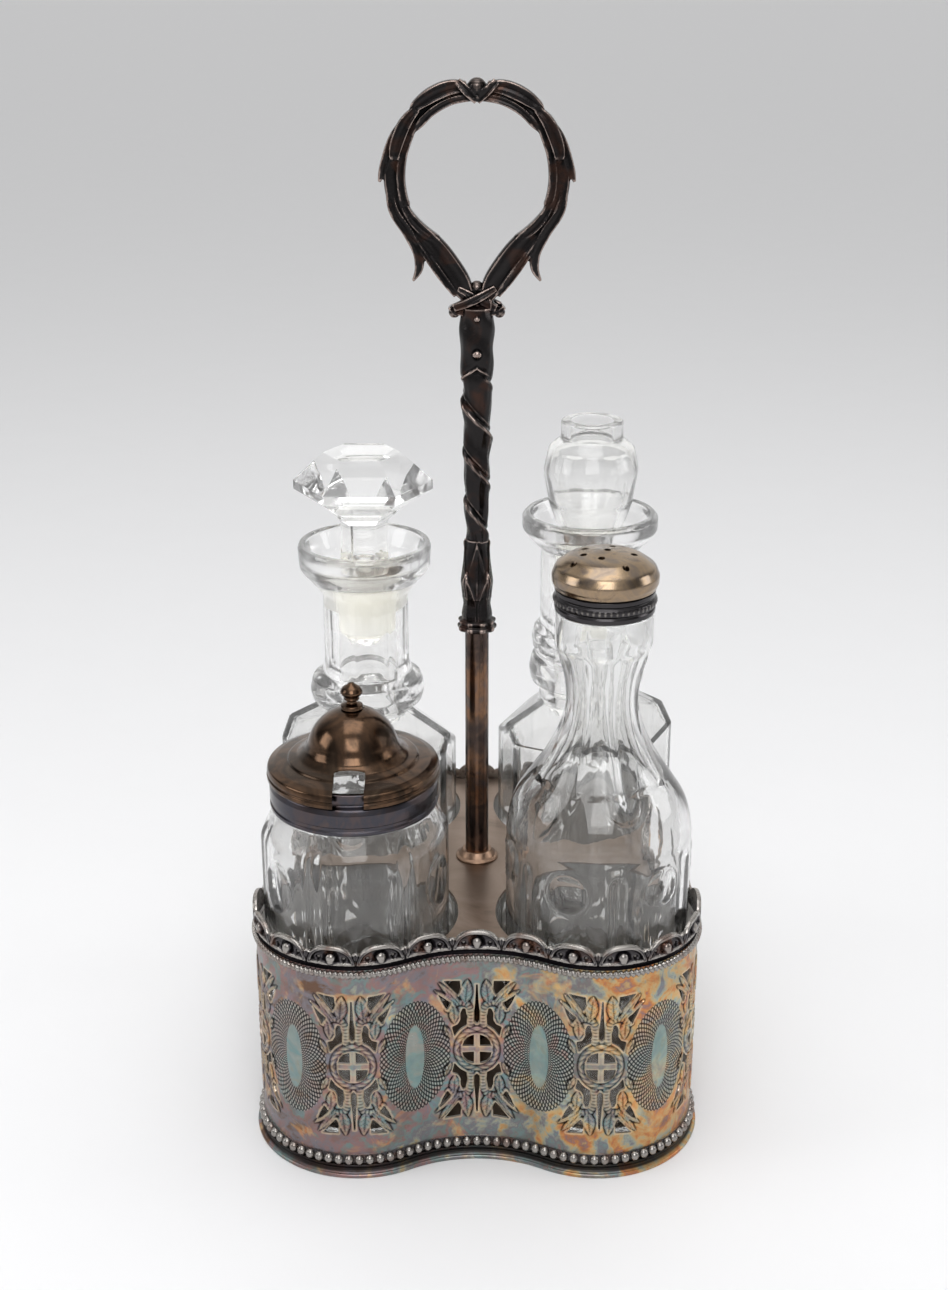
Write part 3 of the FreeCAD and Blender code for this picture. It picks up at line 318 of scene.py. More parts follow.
def gallery_spot(along, out, up):
    """Places on the gallery's wall, from the distance along it from the front waist.

    Out is the distance outside the wall's face.
    """
    along, out, up = np.broadcast_arrays(np.asarray(along, float), out, up)
    quarter, rest = np.divmod(along, QUARTER)
    first = math.pi / 2 - rest / WAIST_RADIUS
    lobe = -math.pi / 2 - SWING + (rest - WAIST_LENGTH) / WALL_RADIUS
    last = math.pi + (QUARTER - rest) / WAIST_RADIUS
    in_first = rest < WAIST_LENGTH
    in_lobe = ~in_first & (rest < WAIST_LENGTH + LOBE_LENGTH)

    def by_stretch(on_first, on_lobe, on_last):
        return np.where(in_first, on_first, np.where(in_lobe, on_lobe, on_last))

    across = by_stretch(WAIST_RADIUS * np.cos(first), WELL + WALL_RADIUS * np.cos(lobe),
                        REACH + WAIST_RADIUS * np.cos(last))
    back = by_stretch(WAIST_RADIUS * np.sin(first) - REACH, WALL_RADIUS * np.sin(lobe) - WELL,
                      WAIST_RADIUS * np.sin(last))
    facing_x = by_stretch(-np.cos(first), np.cos(lobe), -np.cos(last))
    facing_y = by_stretch(-np.sin(first), np.sin(lobe), -np.sin(last))
    across = across + facing_x * out
    back = back + facing_y * out
    turn = quarter * math.pi / 2
    return np.stack([across * np.cos(turn) - back * np.sin(turn),
                     across * np.sin(turn) + back * np.cos(turn), up], -1)


def swept(section, steps, section_at=None):
    """A closed (out, up) section carried round the gallery's outline."""
    along = np.arange(steps) * AROUND / steps
    count = len(section)
    rings = []
    for place in along:
        ring = section if section_at is None else section_at(place)
        rings.append(gallery_spot(np.full(count, place), ring[:, 0], ring[:, 1]))
    points = np.concatenate(rings)
    faces = []
    for k in range(steps):
        after = (k + 1) % steps
        for j in range(count):
            beside = (j + 1) % count
            faces.append((k * count + j, after * count + j, after * count + beside, k * count + beside))
    return points, faces


# ------------------------------------------------------------ materials

class Signal:
    """A shader node's output; arithmetic on it adds Math nodes."""

    def __init__(self, socket):
        self.socket = socket
        self.tree = socket.id_data

    def __add__(self, other):
        return maths("ADD", self, other)

    def __sub__(self, other):
        return maths("SUBTRACT", self, other)

    def __rsub__(self, other):
        return maths("SUBTRACT", other, self)

    def __mul__(self, other):
        return maths("MULTIPLY", self, other)

    def __truediv__(self, other):
        return maths("DIVIDE", self, other)

    def __pow__(self, other):
        return maths("POWER", self, other)

    def __abs__(self):
        return maths("ABSOLUTE", self)


def feed(socket, value):
    """Link a signal to a socket, or set the socket's constant."""
    if isinstance(value, Signal):
        value.tree.links.new(value.socket, socket)
    else:
        socket.default_value = value


def maths(operation, *values):
    """The result of one Math node on one or two values, at least one of them a signal."""
    tree = next(value.tree for value in values if isinstance(value, Signal))
    made = tree.nodes.new("ShaderNodeMath")
    made.operation = operation
    for socket, value in zip(made.inputs, (*values, 0.0, 0.0)):
        feed(socket, value)
    return Signal(made.outputs[0])


def node(tree, kind, settings=None, **sockets):
    """Add a shader node; sockets are set by name, with a space for each underscore."""
    made = tree.nodes.new("ShaderNode" + kind)
    for key, value in (settings or {}).items():
        setattr(made, key, value)
    for key, value in sockets.items():
        feed(made.inputs[key.replace("_", " ")], value)
    return made


def blend_colours(share, first, second):
    """The result of mixing two colours."""
    made = node(share.tree, "Mix", {"data_type": "RGBA"})
    feed(made.inputs[0], share)
    for socket, colour in ((made.inputs[6], first), (made.inputs[7], second)):
        feed(socket, colour if isinstance(colour, Signal) else (*colour, 1.0))
    return Signal(made.outputs[2])


def colour_ramp(value, stops):
    """The colour at a value, from (place, colour) stops."""
    made = node(value.tree, "ValToRGB")
    feed(made.inputs[0], value)
    ramp = made.color_ramp
    while len(ramp.elements) < len(stops):
        ramp.elements.new(0.5)
    for element, (place, colour) in zip(ramp.elements, stops):
        element.position = place
        element.color = (*colour, 1.0)
    return Signal(made.outputs[0])


def noise(where, size, detail=3.0, roughness=0.55, distortion=0.0):
    """Noise from 0 to 1 with blotches about size mm across."""
    return Signal(node(where.tree, "TexNoise", Vector=where, Scale=1 / (size * MM), Detail=detail,
                       Roughness=roughness, Distortion=distortion).outputs[0])


def stretch(value, low, high, new_low=0.0, new_high=1.0):
    """A value's range taken to another, held inside it."""
    return Signal(node(value.tree, "MapRange", {"clamp": True}, Value=value, From_Min=low, From_Max=high,
                       To_Min=new_low, To_Max=new_high).outputs[0])


def parts_of(vector):
    """A vector's x, y and z."""
    return [Signal(output) for output in node(vector.tree, "SeparateXYZ", Vector=vector).outputs]


def stored(tree, name, output="Fac"):
    """What a mesh's points hold under a name."""
    return Signal(node(tree, "Attribute", {"attribute_name": name}).outputs[output])


def add_relief(shader, height, strength, depth):
    """Give a shader fine relief of a depth in mm."""
    made = node(height.tree, "Bump", Strength=strength, Distance=depth * MM, Height=height)
    feed(shader.inputs["Normal"], Signal(made.outputs[0]))


def start_material(name, **sockets):
    """A node material with only a Principled shader, and the place on the object."""
    material = bpy.data.materials.new(name)
    material.use_nodes = True
    tree = material.node_tree
    tree.nodes.clear()
    shader = node(tree, "BsdfPrincipled", **sockets)
    output = node(tree, "OutputMaterial")
    tree.links.new(shader.outputs[0], output.inputs["Surface"])
    where = Signal(node(tree, "TexCoord").outputs["Object"])
    return material, tree, shader, where


def cast_metal(name, hollow, face, edge, rough=(0.25, 0.45), tint=None, grain=0.12):
    """Darkened cast or stamped metal: dark in its hollows from tarnish and painted shade, bright on its edges
    from rubbing and a painted highlight.
    """
    material, tree, shader, where = start_material(name, Metallic=1.0)
    large = noise(where, 9.0, 4.0, 0.6, 0.6)
    fine = noise(where, 0.7, 4.0, 0.65)
    # painted shade in the hollows and a painted highlight on the edges, over the tarnish and the rubbed metal
    worn_and_shaded = stored(tree, "wear_and_shading") + (large - 0.5) * 0.35
    colour = colour_ramp(worn_and_shaded, [(0.18, hollow), (0.5, face), (0.66, face), (0.86, edge)])
    if tint:
        patch = stretch(noise(where, 7.2, 3.0, 0.5, 1.0), 0.52, 0.68)
        colour = blend_colours(patch * 0.6, colour, tint)
    # painted shade: the rim's groove is painted in the hollow colour
    feed(shader.inputs["Base Color"], blend_colours(stored(tree, "engraving_and_shade"), colour, hollow))
    feed(shader.inputs["Roughness"], stretch(large * 0.5 + fine * 0.5, 0.3, 0.7, *rough))
    add_relief(shader, fine, grain, 0.15)
    return material


# Colours of the tarnished silver, with its painted shade and painted highlights
SLATE = (0.215, 0.220, 0.255)
PLUM = (0.320, 0.195, 0.195)
SEA = (0.180, 0.300, 0.300)
PALE_TEAL = (0.360, 0.425, 0.365)
GOLD = (0.640, 0.440, 0.200)
ORANGE = (0.640, 0.250, 0.085)
UMBER = (0.150, 0.090, 0.065)
SOOT_AND_SHADE = (0.016, 0.013, 0.012)
# painted light: the wall's inner face is painted pale grey, lighter than the tarnished outside, so the inside
# of the gallery reads lighter
INSIDE = (0.520, 0.500, 0.485)
TARNISH = (0.170, 0.102, 0.066)
WEAVE_HIGHLIGHT = (0.68, 0.60, 0.50)
RUBBED_AND_HIGHLIGHT = (0.70, 0.56, 0.38)


def oval_reach(across, rise, half_width, half_height):
    """How far out in an upright oval a place is: 0 at its middle, 1 on its edge."""
    across = abs(across / half_width) ** 2.0
    rise = abs(rise / half_height) ** 2.0
    return maths("SQRT", across + rise)


def toned_silver():
    """Silver sheet with rainbow tarnish, engraved with a basket weave in its ovals."""
    material, tree, shader, where = start_material("toned_silver", Metallic=1.0)
    rightward, _, up = parts_of(where)
    large = noise(where, 22.0, 3.0, 0.5, 1.6)
    middle = noise(where, 6.0, 5.0, 0.62, 1.2)
    small = noise(where, 1.8, 3.0, 0.6)
    fine = noise(where, 0.8, 3.0, 0.6)

    # rainbow colours that change from left to right, then a brown film, thickest above and below the motifs
    mottled = large * 1.2 + middle * 0.7 + (small - 0.5) * 0.22
    base = colour_ramp(mottled + rightward * 3.7 - 0.47,
                       [(0.08, UMBER), (0.2, SLATE), (0.33, PLUM), (0.43, SEA), (0.52, SLATE),
                        (0.60, PALE_TEAL), (0.68, GOLD), (0.78, ORANGE), (0.86, PLUM), (0.94, GOLD)])
    off_middle = abs(up - MOTIF_LEVEL * MM)
    film = stretch(noise(where, 9.0, 5.0, 0.62, 0.9), 0.42, 0.62)
    film = maths("MAXIMUM", film, middle * stretch(off_middle, 0.015, 0.020))
    base = blend_colours(film * 0.50, base, TARNISH)

    # the mesh carries each place's spot in its engraved oval, in mm, and whether it is on the inner face
    across, rise, inner = parts_of(stored(tree, "oval", "Vector"))
    reach = oval_reach(across, rise, OVAL_HALF_WIDTH, OVAL_HALF_HEIGHT)
    in_oval = stretch(reach, 1.0, 0.98)
    in_medal = stretch(oval_reach(across, rise, MEDAL_HALF_WIDTH, MEDAL_HALF_HEIGHT), 1.0, 0.94)
    woven = in_oval * (1.0 - in_medal)
    around = maths("ARCTAN2", rise / OVAL_HALF_HEIGHT, across / OVAL_HALF_WIDTH) * (WEAVE_AROUND / 2)
    out = reach * (math.pi * WEAVE_ACROSS)
    cell = abs(maths("SINE", around + out)) * abs(maths("SINE", around - out))
    raised = stretch(cell, 0.16, 0.74)

    # cool ovals, warm patches between them, then the weave with a painted highlight on its raised cells, and
    # the chased lines
    base = blend_colours(in_oval * stretch(middle, 0.40, 0.58) * 0.42, base, SEA)
    warm = (1.0 - in_oval) * stretch(noise(where, 12.0, 4.0, 0.6, 1.0), 0.55, 0.66)
    base = blend_colours(warm * 0.60, base, blend_colours(stretch(small, 0.35, 0.6), ORANGE, GOLD))
    base = blend_colours(in_medal * 0.6, base, blend_colours(stretch(middle, 0.35, 0.65), PALE_TEAL, SEA))
    # painted highlight on the weave's raised cells
    base = blend_colours(woven * raised * 0.36, base, WEAVE_HIGHLIGHT)
    base = blend_colours(woven * (1.0 - raised) * 0.90, base, SOOT_AND_SHADE)
    # engraved lines dark with tarnish, and painted shade on the foot's cove and step under the beads
    base = blend_colours(stored(tree, "engraving_and_shade") * 0.92, base, SOOT_AND_SHADE)
    # tarnish and painted shade darken the hollows; rubbed metal and a painted highlight brighten the edges
    wear_and_shading = stored(tree, "wear_and_shading")
    base = blend_colours(stretch(wear_and_shading, 0.46, 0.22) * 0.88, base, SOOT_AND_SHADE)
    base = blend_colours(stretch(wear_and_shading, 0.58, 0.90) * 0.46, base, RUBBED_AND_HIGHLIGHT)
    # painted light: the inner face takes the pale grey
    feed(shader.inputs["Base Color"], blend_colours(inner, base, INSIDE))
    rough = stretch(middle * 0.6 + fine * 0.4, 0.3, 0.7, 0.24, 0.44)
    feed(shader.inputs["Roughness"], maths("MAXIMUM", rough, inner * 0.62))
    add_relief(shader, fine * 0.12 + woven * raised, 0.8, 0.14)
    return material


def sheet_metal(name, colours, blotch, rough=(0.25, 0.42), upright=0.0):
    """Smooth tarnished sheet or tube, mottled between some colours; upright is the share of level bands."""
    material, _, shader, where = start_material(name, Metallic=1.0)
    up = parts_of(where)[2]
    large = noise(where, blotch, 4.0, 0.6, 1.4)
    fine = noise(where, 0.9, 3.0, 0.6)
    mixed = large * (1.5 - upright) + maths("SINE", up * 240.0) * (upright * 0.35)
    stops = [(k / (len(colours) - 1) * 0.8 + 0.1, colour) for k, colour in enumerate(colours)]
    feed(shader.inputs["Base Color"], colour_ramp(mixed - 0.25 + fine * 0.1, stops))
    feed(shader.inputs["Roughness"], stretch(large, 0.3, 0.7, *rough))
    add_relief(shader, noise(where, 0.35, 2.0, 0.5), 0.08, 0.1)
    return material


def glass(name, roughness, tint, waves, wave_size=6.0, see_through=0.07, chalk=0.0):
    """Clear glass that lets lamp light through; waves give it a hand-made surface.

    See_through is the share of light that passes with no bending, and chalk the share that a ground
    face scatters.
    """
    material, tree, shader, where = start_material(name, Metallic=0.0, Roughness=roughness, IOR=1.5,
                                                   Transmission_Weight=1.0 - chalk, Base_Color=(*tint, 1.0))
    drawn = node(tree, "VectorMath", {"operation": "MULTIPLY"})
    feed(drawn.inputs[0], where)
    feed(drawn.inputs[1], (1.0, 1.0, 0.30))
    add_relief(shader, noise(Signal(drawn.outputs[0]), wave_size, 2.0, 0.5, 0.4), waves, 0.5)
    clear = node(tree, "BsdfTransparent", Color=(*tint, 1.0))
    rays = Signal(node(tree, "LightPath").outputs["Is Shadow Ray"])
    mixed = node(tree, "MixShader", Fac=maths("MAXIMUM", rays, see_through))
    tree.links.new(shader.outputs[0], mixed.inputs[1])
    tree.links.new(clear.outputs[0], mixed.inputs[2])
    output = next(item for item in tree.nodes if item.type == "OUTPUT_MATERIAL")
    tree.links.new(mixed.outputs[0], output.inputs["Surface"])
    return material


# The engraved oval, its plain medallion and the weave between them, in mm and cells
OVAL_HALF_WIDTH = 9.6
OVAL_HALF_HEIGHT = 16.4
MEDAL_HALF_WIDTH = 2.7
MEDAL_HALF_HEIGHT = 9.6
WEAVE_AROUND = 56
WEAVE_ACROSS = 8.0

TONED = toned_silver()
DARK = cast_metal("dark_silver", (0.006, 0.005, 0.006), (0.066, 0.061, 0.064), (0.33, 0.31, 0.29),
                  rough=(0.2, 0.36), tint=(0.15, 0.075, 0.05))
HANDLE = cast_metal("handle_silver", (0.004, 0.004, 0.004), (0.024, 0.022, 0.022), (0.34, 0.27, 0.24),
                    rough=(0.13, 0.30), tint=(0.060, 0.030, 0.021), grain=0.25)
PLATE = sheet_metal("inner_silver", [(0.120, 0.090, 0.070), (0.240, 0.180, 0.140), (0.310, 0.240, 0.195),
                                     (0.190, 0.135, 0.100)], 26.0, (0.3, 0.45))
FLOOR_PLATE = sheet_metal("base_silver", [(0.070, 0.050, 0.037), (0.120, 0.090, 0.068),
                                          (0.090, 0.065, 0.048)], 18.0, (0.3, 0.45))
POST = sheet_metal("post_silver", [(0.050, 0.038, 0.034), (0.100, 0.068, 0.053), (0.220, 0.120, 0.070),
                                   (0.090, 0.078, 0.080), (0.340, 0.235, 0.110), (0.075, 0.052, 0.044)], 6.0,
                   (0.14, 0.26), upright=0.5)
BOSS = sheet_metal("boss_copper", [(0.12, 0.075, 0.052), (0.27, 0.175, 0.12), (0.18, 0.115, 0.08)], 6.0)
COLLAR = sheet_metal("collar_silver", [(0.040, 0.037, 0.042), (0.090, 0.070, 0.070), (0.060, 0.060, 0.072),
                                       (0.120, 0.085, 0.072)], 10.0, (0.16, 0.28))
BEADED = cast_metal("collar_dark", (0.010, 0.009, 0.009), (0.050, 0.047, 0.049), (0.28, 0.26, 0.24),
                    rough=(0.14, 0.26))
LID = sheet_metal("lid_bronze", [(0.020, 0.013, 0.010), (0.052, 0.034, 0.024), (0.115, 0.068, 0.042),
                                 (0.045, 0.030, 0.021), (0.082, 0.056, 0.038)], 15.0, (0.12, 0.24))
CAP = sheet_metal("cap_gilt", [(0.120, 0.092, 0.072), (0.225, 0.178, 0.140), (0.330, 0.240, 0.155),
                               (0.170, 0.134, 0.108)], 9.0, (0.16, 0.30))
STEEL = sheet_metal("rod_steel", [(0.20, 0.20, 0.21), (0.36, 0.35, 0.34), (0.28, 0.24, 0.21)], 10.0)
GLASS = glass("clear_glass", 0.0, (0.990, 0.990, 0.984), 0.02)
WAVY_GLASS = glass("pressed_glass", 0.0, (0.988, 0.990, 0.986), 0.10, 4.0)
FROSTED = glass("ground_glass", 0.45, (0.91, 0.90, 0.85), 0.1, 0.6, see_through=0.0, chalk=0.45)


# ------------------------------------------------------------ the pierced wall

def welded(points, faces, extra, grid=0.0005):
    """Join points that fall together, with what they carry, and drop the faces that this closes up."""
    keys = np.round(points / grid).astype(np.int64)
    _, kept, place = np.unique(keys, axis=0, return_index=True, return_inverse=True)
    place = place.ravel()
    joined = []
    for face in faces:
        corners = [int(place[corner]) for corner in face]
        corners = [corner for k, corner in enumerate(corners) if corner != corners[k - 1]]
        if len(corners) >= 3:
            joined.append(tuple(corners))
    return points[kept], joined, extra[kept]


def leaf_relief(u, v, root, tip, half, rise=0.34):
    """Height of one chased leaf's blade, and its engraved lines from 0 to 1."""
    along = np.array(tip) - np.array(root)
    length = np.hypot(*along)
    along = along / length
    share = ((u - root[0]) * along[0] + (v - root[1]) * along[1]) / length
    aside = np.abs((u - root[0]) * along[1] - (v - root[1]) * along[0])
    inside = np.clip(share, 0, 1)
    belly = half * np.sin(math.pi * inside ** 0.85) ** 0.8 + 0.02
    present = smooth_step(-0.04, 0.04, share) * smooth_step(1.06, 0.98, share)
    blade = rise * np.sqrt(np.clip(1 - (aside / belly) ** 2, 0, 1)) * present
    rib = np.exp(-(aside / 0.15) ** 2) * smooth_step(0.0, 0.12, share) * smooth_step(1.0, 0.85, share)
    vein_run = (share * length - 0.9 * aside) / VEIN_PITCH
    vein = 0.55 * bump(vein_run % 1.0 - 0.5, 0.17) * smooth_step(0.15, 0.4, aside)
    outline = np.exp(-((aside - belly - 0.17) / 0.17) ** 2)
    lines = np.where(blade > 0.03, np.maximum(rib, vein), outline) * present
    return blade, lines


def gap_to_path(u, v, path):
    """Distance of places from a path, and how far along it the nearest spot is."""
    nearest = np.full(u.shape, 1e9)
    run = np.zeros(u.shape)
    travelled = 0.0
    for start, end in zip(path[:-1], path[1:]):
        step = end - start
        length = np.hypot(*step)
        share = np.clip(((u - start[0]) * step[0] + (v - start[1]) * step[1]) / length ** 2, 0, 1)
        gap = np.hypot(u - start[0] - share * step[0], v - start[1] - share * step[1])
        closer = gap < nearest
        nearest = np.where(closer, gap, nearest)
        run = np.where(closer, travelled + share * length, run)
        travelled += length
    return nearest, run


def stroke_relief(u, v, path, half, rise=0.32):
    """Height of a chased stem, and its engraved rungs and outline from 0 to 1."""
    gap, run = gap_to_path(u, v, path)
    body = rise * np.sqrt(np.clip(1 - (gap / half) ** 2, 0, 1))
    rungs = (0.5 + 0.5 * np.cos(FULL_TURN * run / RUNG_PITCH)) ** 1.5
    outline = np.exp(-((gap - half - 0.15) / 0.16) ** 2)
    return body, np.where(body > 0.03, rungs, outline)


def laid_over(height, lines, own_height, own_lines):
    """One raised shape with its lines laid over what is there."""
    plain = height < 0.03
    shown = np.where(own_height > height, own_lines, np.where(plain, np.maximum(lines, own_lines), lines))
    return np.maximum(height, own_height), shown


# Chasing of a quarter of a motif: a leaf's veins and the stem's rungs, the leaves as (root, tip,
# half-width), the stem's path and the half-width and half-height of the wheel in the middle
VEIN_PITCH = 1.2
RUNG_PITCH = 0.95
LINE_DEPTH = 0.13
LEAVES = (((3.0, 13.6), (2.3, 20.5), 1.5), ((4.2, 13.3), (9.7, 20.3), 0.8), ((4.9, 13.4), (10.9, 18.3), 0.62),
          ((5.9, 12.9), (5.7, 7.7), 1.2), ((6.6, 3.6), (8.4, 7.6), 0.8))
STEM_PATH = rounded([(1.5, 6.3), (1.5, 10.8, 4.0), (2.2, 13.4, 1.5), (4.8, 14.0, 1.5), (7.3, 12.2)], 0.5)
WHEEL_WIDTH = 5.75
WHEEL_HEIGHT = 6.6


def wall_relief(u, v):
    """Height of the chasing on the wall and its engraved lines, beside and above the motif's middle."""
    side = np.abs(u)
    rise = np.abs(v)
    height = np.zeros(u.shape)
    lines = np.zeros(u.shape)
    for root, tip, half in LEAVES:
        height, lines = laid_over(height, lines, *leaf_relief(side, rise, root, tip, half))
    height, lines = laid_over(height, lines, *stroke_relief(side, rise, STEM_PATH, 0.82))
    ring = np.sqrt((side / WHEEL_WIDTH) ** 2 + (rise / WHEEL_HEIGHT) ** 2)
    reach = (ring - 1) * (WHEEL_WIDTH + WHEEL_HEIGHT) / 2
    within = reach < 0.2
    wound = np.arctan2(rise, side) * 9 + reach * 2.4
    rope = 0.5 + 0.5 * np.cos(wound * 2)
    hoops = 0.36 * bump(reach + 0.7, 1.0) * (0.75 + 0.25 * rope) + 0.22 * bump(reach + 1.9, 0.35)
    rope_lines = 0.75 * bump((wound / math.pi) % 1.0 - 0.5, 0.2) * (np.abs(reach + 0.7) < 0.65)
    round_lines = np.maximum(0.8 * bump(reach - 0.2, 0.3), 0.8 * bump(reach + 1.55, 0.25))
    hoop_lines = np.maximum(rope_lines, round_lines)
    spokes = 0.16 * bump(np.minimum(side, rise), 0.6) * (reach < -2.0)
    height = np.where(within, hoops + spokes, height)
    lines = np.where(within, hoop_lines, np.maximum(lines, hoop_lines * (height < 0.2)))
    return height - LINE_DEPTH * lines, lines


MOTIF_PITCH = AROUND / MOTIFS
# Half the width of a motif's chasing, and the steps along a tile's border
CHASED_HALF = 11.2
TILE_STEPS_ACROSS = 46
TILE_STEPS_UP = 80
# Piercings of a quarter of a motif, as (beside, above, rounding) corners from its middle
WHEEL_GAP = ((0.75, 0.85, 0.15), (3.8, 0.95, 0.2), (3.3, 2.6, 0.7), (2.4, 3.7, 0.7), (0.75, 4.4, 0.2))
STEM_GAP = ((2.6, 6.95, 0.2), (4.3, 5.85, 3.0), (5.75, 3.9, 0.15), (6.4, 6.9, 0.5), (4.9, 7.5, 0.6),
            (4.2, 8.8, 1.0), (4.2, 10.8, 1.2), (3.6, 12.2, 0.4), (2.9, 12.0, 0.4), (2.5, 9.5, 1.5))
LEAF_GAP = ((8.6, 20.6, 0.15), (4.2, 20.2, 0.3), (4.1, 18.0, 0.8), (4.7, 15.8, 0.2))
TIP_GAP = ((9.9, 17.0, 0.15), (8.2, 15.6, 1.5), (6.6, 13.7, 0.2), (7.6, 11.9, 0.2), (8.9, 14.3, 1.5))
SLOT_GAP = ((0.0, 7.3, 0.2), (0.58, 8.2, 0.5), (0.6, 12.0, 2.0), (0.4, 14.6, 1.0), (0.22, 19.0, 0.1),
            (-0.22, 19.0, 0.1), (-0.4, 14.6, 1.0), (-0.6, 12.0, 2.0), (-0.58, 8.2, 0.5))


def wall_holes(step):
    """Closed outlines of the piercings of one motif."""
    holes = []
    for up in (1, -1):
        holes.append(rounded([(u, v * up, r) for u, v, r in SLOT_GAP], step, closed=True))
        for aside in (1, -1):
            for gap in (WHEEL_GAP, STEM_GAP, LEAF_GAP, TIP_GAP):
                holes.append(rounded([(u * aside, v * up, r) for u, v, r in gap], step, closed=True))
    return holes


def inside_outline(u, v, outline):
    """Whether points lie inside a closed outline."""
    inside = np.zeros(u.shape, bool)
    for (x1, y1), (x2, y2) in zip(outline, np.roll(outline, -1, 0)):
        crosses = (y1 > v) != (y2 > v)
        inside ^= crosses & (u < (x2 - x1) * (v - y1) / (y2 - y1 + 1e-30) + x1)
    return inside


def wall_tile(low, high, holes, inner_places):
    """Flat triangles of one tile of the wall; the border and hole points come first."""
    half = MOTIF_PITCH / 2
    across = np.linspace(-half, half, TILE_STEPS_ACROSS + 1)
    up = np.linspace(low, high, TILE_STEPS_UP + 1)
    border = np.concatenate([np.stack([across[:-1], np.full(TILE_STEPS_ACROSS, low)], 1),
                             np.stack([np.full(TILE_STEPS_UP, half), up[:-1]], 1),
                             np.stack([across[:0:-1], np.full(TILE_STEPS_ACROSS, high)], 1),
                             np.stack([np.full(TILE_STEPS_UP, -half), up[:0:-1]], 1)])
    loops = [border, *holes]
    edges = []
    start = 0
    for loop in loops:
        count = len(loop)
        edges.extend((start + k, start + (k + 1) % count) for k in range(count))
        start += count
    border_margin = 0.12
    hole_margin = 0.13
    u, v = inner_places.T
    keep = np.minimum(half - np.abs(u), np.minimum(v - low, high - v)) > border_margin
    for hole in holes:
        gap, _ = gap_to_path(u, v, np.concatenate([hole, hole[:1]]))
        keep &= ~inside_outline(u, v, hole) & (gap > hole_margin)
    spots = np.concatenate([*loops, inner_places[keep]])
    made, _, faces, _, _, _ = delaunay_2d_cdt([tuple(spot) for spot in spots], edges, [], 0, 1e-6)
    flat = np.array([tuple(spot) for spot in made])
    faces = np.array([tuple(face) for face in faces])
    middle = flat[faces].mean(1)
    solid = np.ones(len(faces), bool)
    for hole in holes:
        solid &= ~inside_outline(middle[:, 0], middle[:, 1], hole)
    faces = faces[solid]
    a, b, c = flat[faces[:, 0]], flat[faces[:, 1]], flat[faces[:, 2]]
    area = (b[:, 0] - a[:, 0]) * (c[:, 1] - a[:, 1]) - (b[:, 1] - a[:, 1]) * (c[:, 0] - a[:, 0])
    faces[area < 0] = faces[area < 0][:, ::-1]
    return flat, faces[np.abs(area) > 1e-7]


def hex_places(low, high, step, half):
    """Evenly spread places in a tile, every other row shifted by half a step."""
    places = []
    for k, level in enumerate(np.arange(low, high, step * math.sqrt(3) / 2)):
        across = np.arange(-half + (k % 2) * step / 2, half, step)
        places.append(np.stack([across, np.full(len(across), level)], 1))
    return np.concatenate(places)


def pierced_wall():
    """The wall's chased outer face, its plain inner face and the edges between them."""
    low = WALL_LOW[2] - MOTIF_LEVEL
    high = WALL_HIGH[2] - MOTIF_LEVEL
    half = MOTIF_PITCH / 2
    holes = wall_holes(0.3)
    fine = hex_places(low, high, 0.31, half)
    fine = fine[np.abs(fine[:, 0]) < CHASED_HALF]
    plain = hex_places(low, high, 0.8, half)
    plain = plain[np.abs(plain[:, 0]) >= CHASED_HALF]
    front, front_faces = wall_tile(low, high, holes, np.concatenate([fine, plain]))
    back, back_faces = wall_tile(low, high, holes, hex_places(low, high, 2.4, half))
    thickness = WALL_RADIUS - (box_of("base_plate")[1][0] - WELL)
    points = []
    marks = []
    faces = []
    start = 0
    across = np.linspace(-half, half, TILE_STEPS_ACROSS + 1)
    edges = [np.concatenate([hole, hole[:1]]) for hole in holes]
    edges.append(np.stack([across, np.full(len(across), low)], 1)[::-1])
    edges.append(np.stack([across, np.full(len(across), high)], 1))
    for number in range(MOTIFS):
        middle = number * MOTIF_PITCH

        def add(flat, out, lines, some_faces):
            nonlocal start
            points.append(gallery_spot(middle + flat[:, 0], out, MOTIF_LEVEL + flat[:, 1]))
            inner = np.broadcast_to(np.asarray(out) <= -thickness, len(flat))
            marks.append(np.stack([np.abs(flat[:, 0]) - half, flat[:, 1], inner, lines], 1))
            faces.extend(tuple(int(corner) + start for corner in face) for face in some_faces)
            start += len(flat)

        add(front, *wall_relief(*front.T), front_faces)
        add(back, -thickness, np.zeros(len(back)), back_faces[:, ::-1])
        for edge in edges:
            count = len(edge)
            both = np.concatenate([edge, edge])
            height, lines = wall_relief(*edge.T)
            out = np.concatenate([height, np.full(count, -thickness)])
            signed = (edge[:-1, 0] * edge[1:, 1] - edge[1:, 0] * edge[:-1, 1]).sum()
            order = 1 if signed > 0 else -1
            quads = [(k, k + 1, count + k + 1, count + k)[::order] for k in range(count - 1)]
            add(both, out, np.concatenate([lines, lines]), quads)
    points, faces, marks = welded(np.concatenate(points), faces, np.concatenate(marks), 0.002)
    wall = add_piece("gallery_wall_chased", (points, faces), "stand", [TONED],
                     "gallery_wall", sharp=60)
    store(wall, "oval", marks[:, :3])
    store(wall, "engraving_and_shade", marks[:, 3])
    mark_wear_and_shading(wall, 0.11, 3)


# ------------------------------------------------------------ rim, cord, beads and foot

# One scallop of the rim: its flat foot, the arch over it, the boss in it and the bud between two arches
SCALLOP_PITCH = AROUND / SCALLOPS
SCALLOP_BASE = 1.2
ARCH_HALF = SCALLOP_PITCH / 2 - 0.12
ARCH_RISE = levels_of("scalloped_rim")[1] - levels_of("scalloped_rim")[0] - 0.1 - SCALLOP_BASE
SQUARENESS = 2.7
BOSS_RADIUS = 1.35
BOSS_LEVEL = SCALLOP_BASE + 2.0
BUD_LEVEL = 3.3
BUD_RADIUS = 1.25


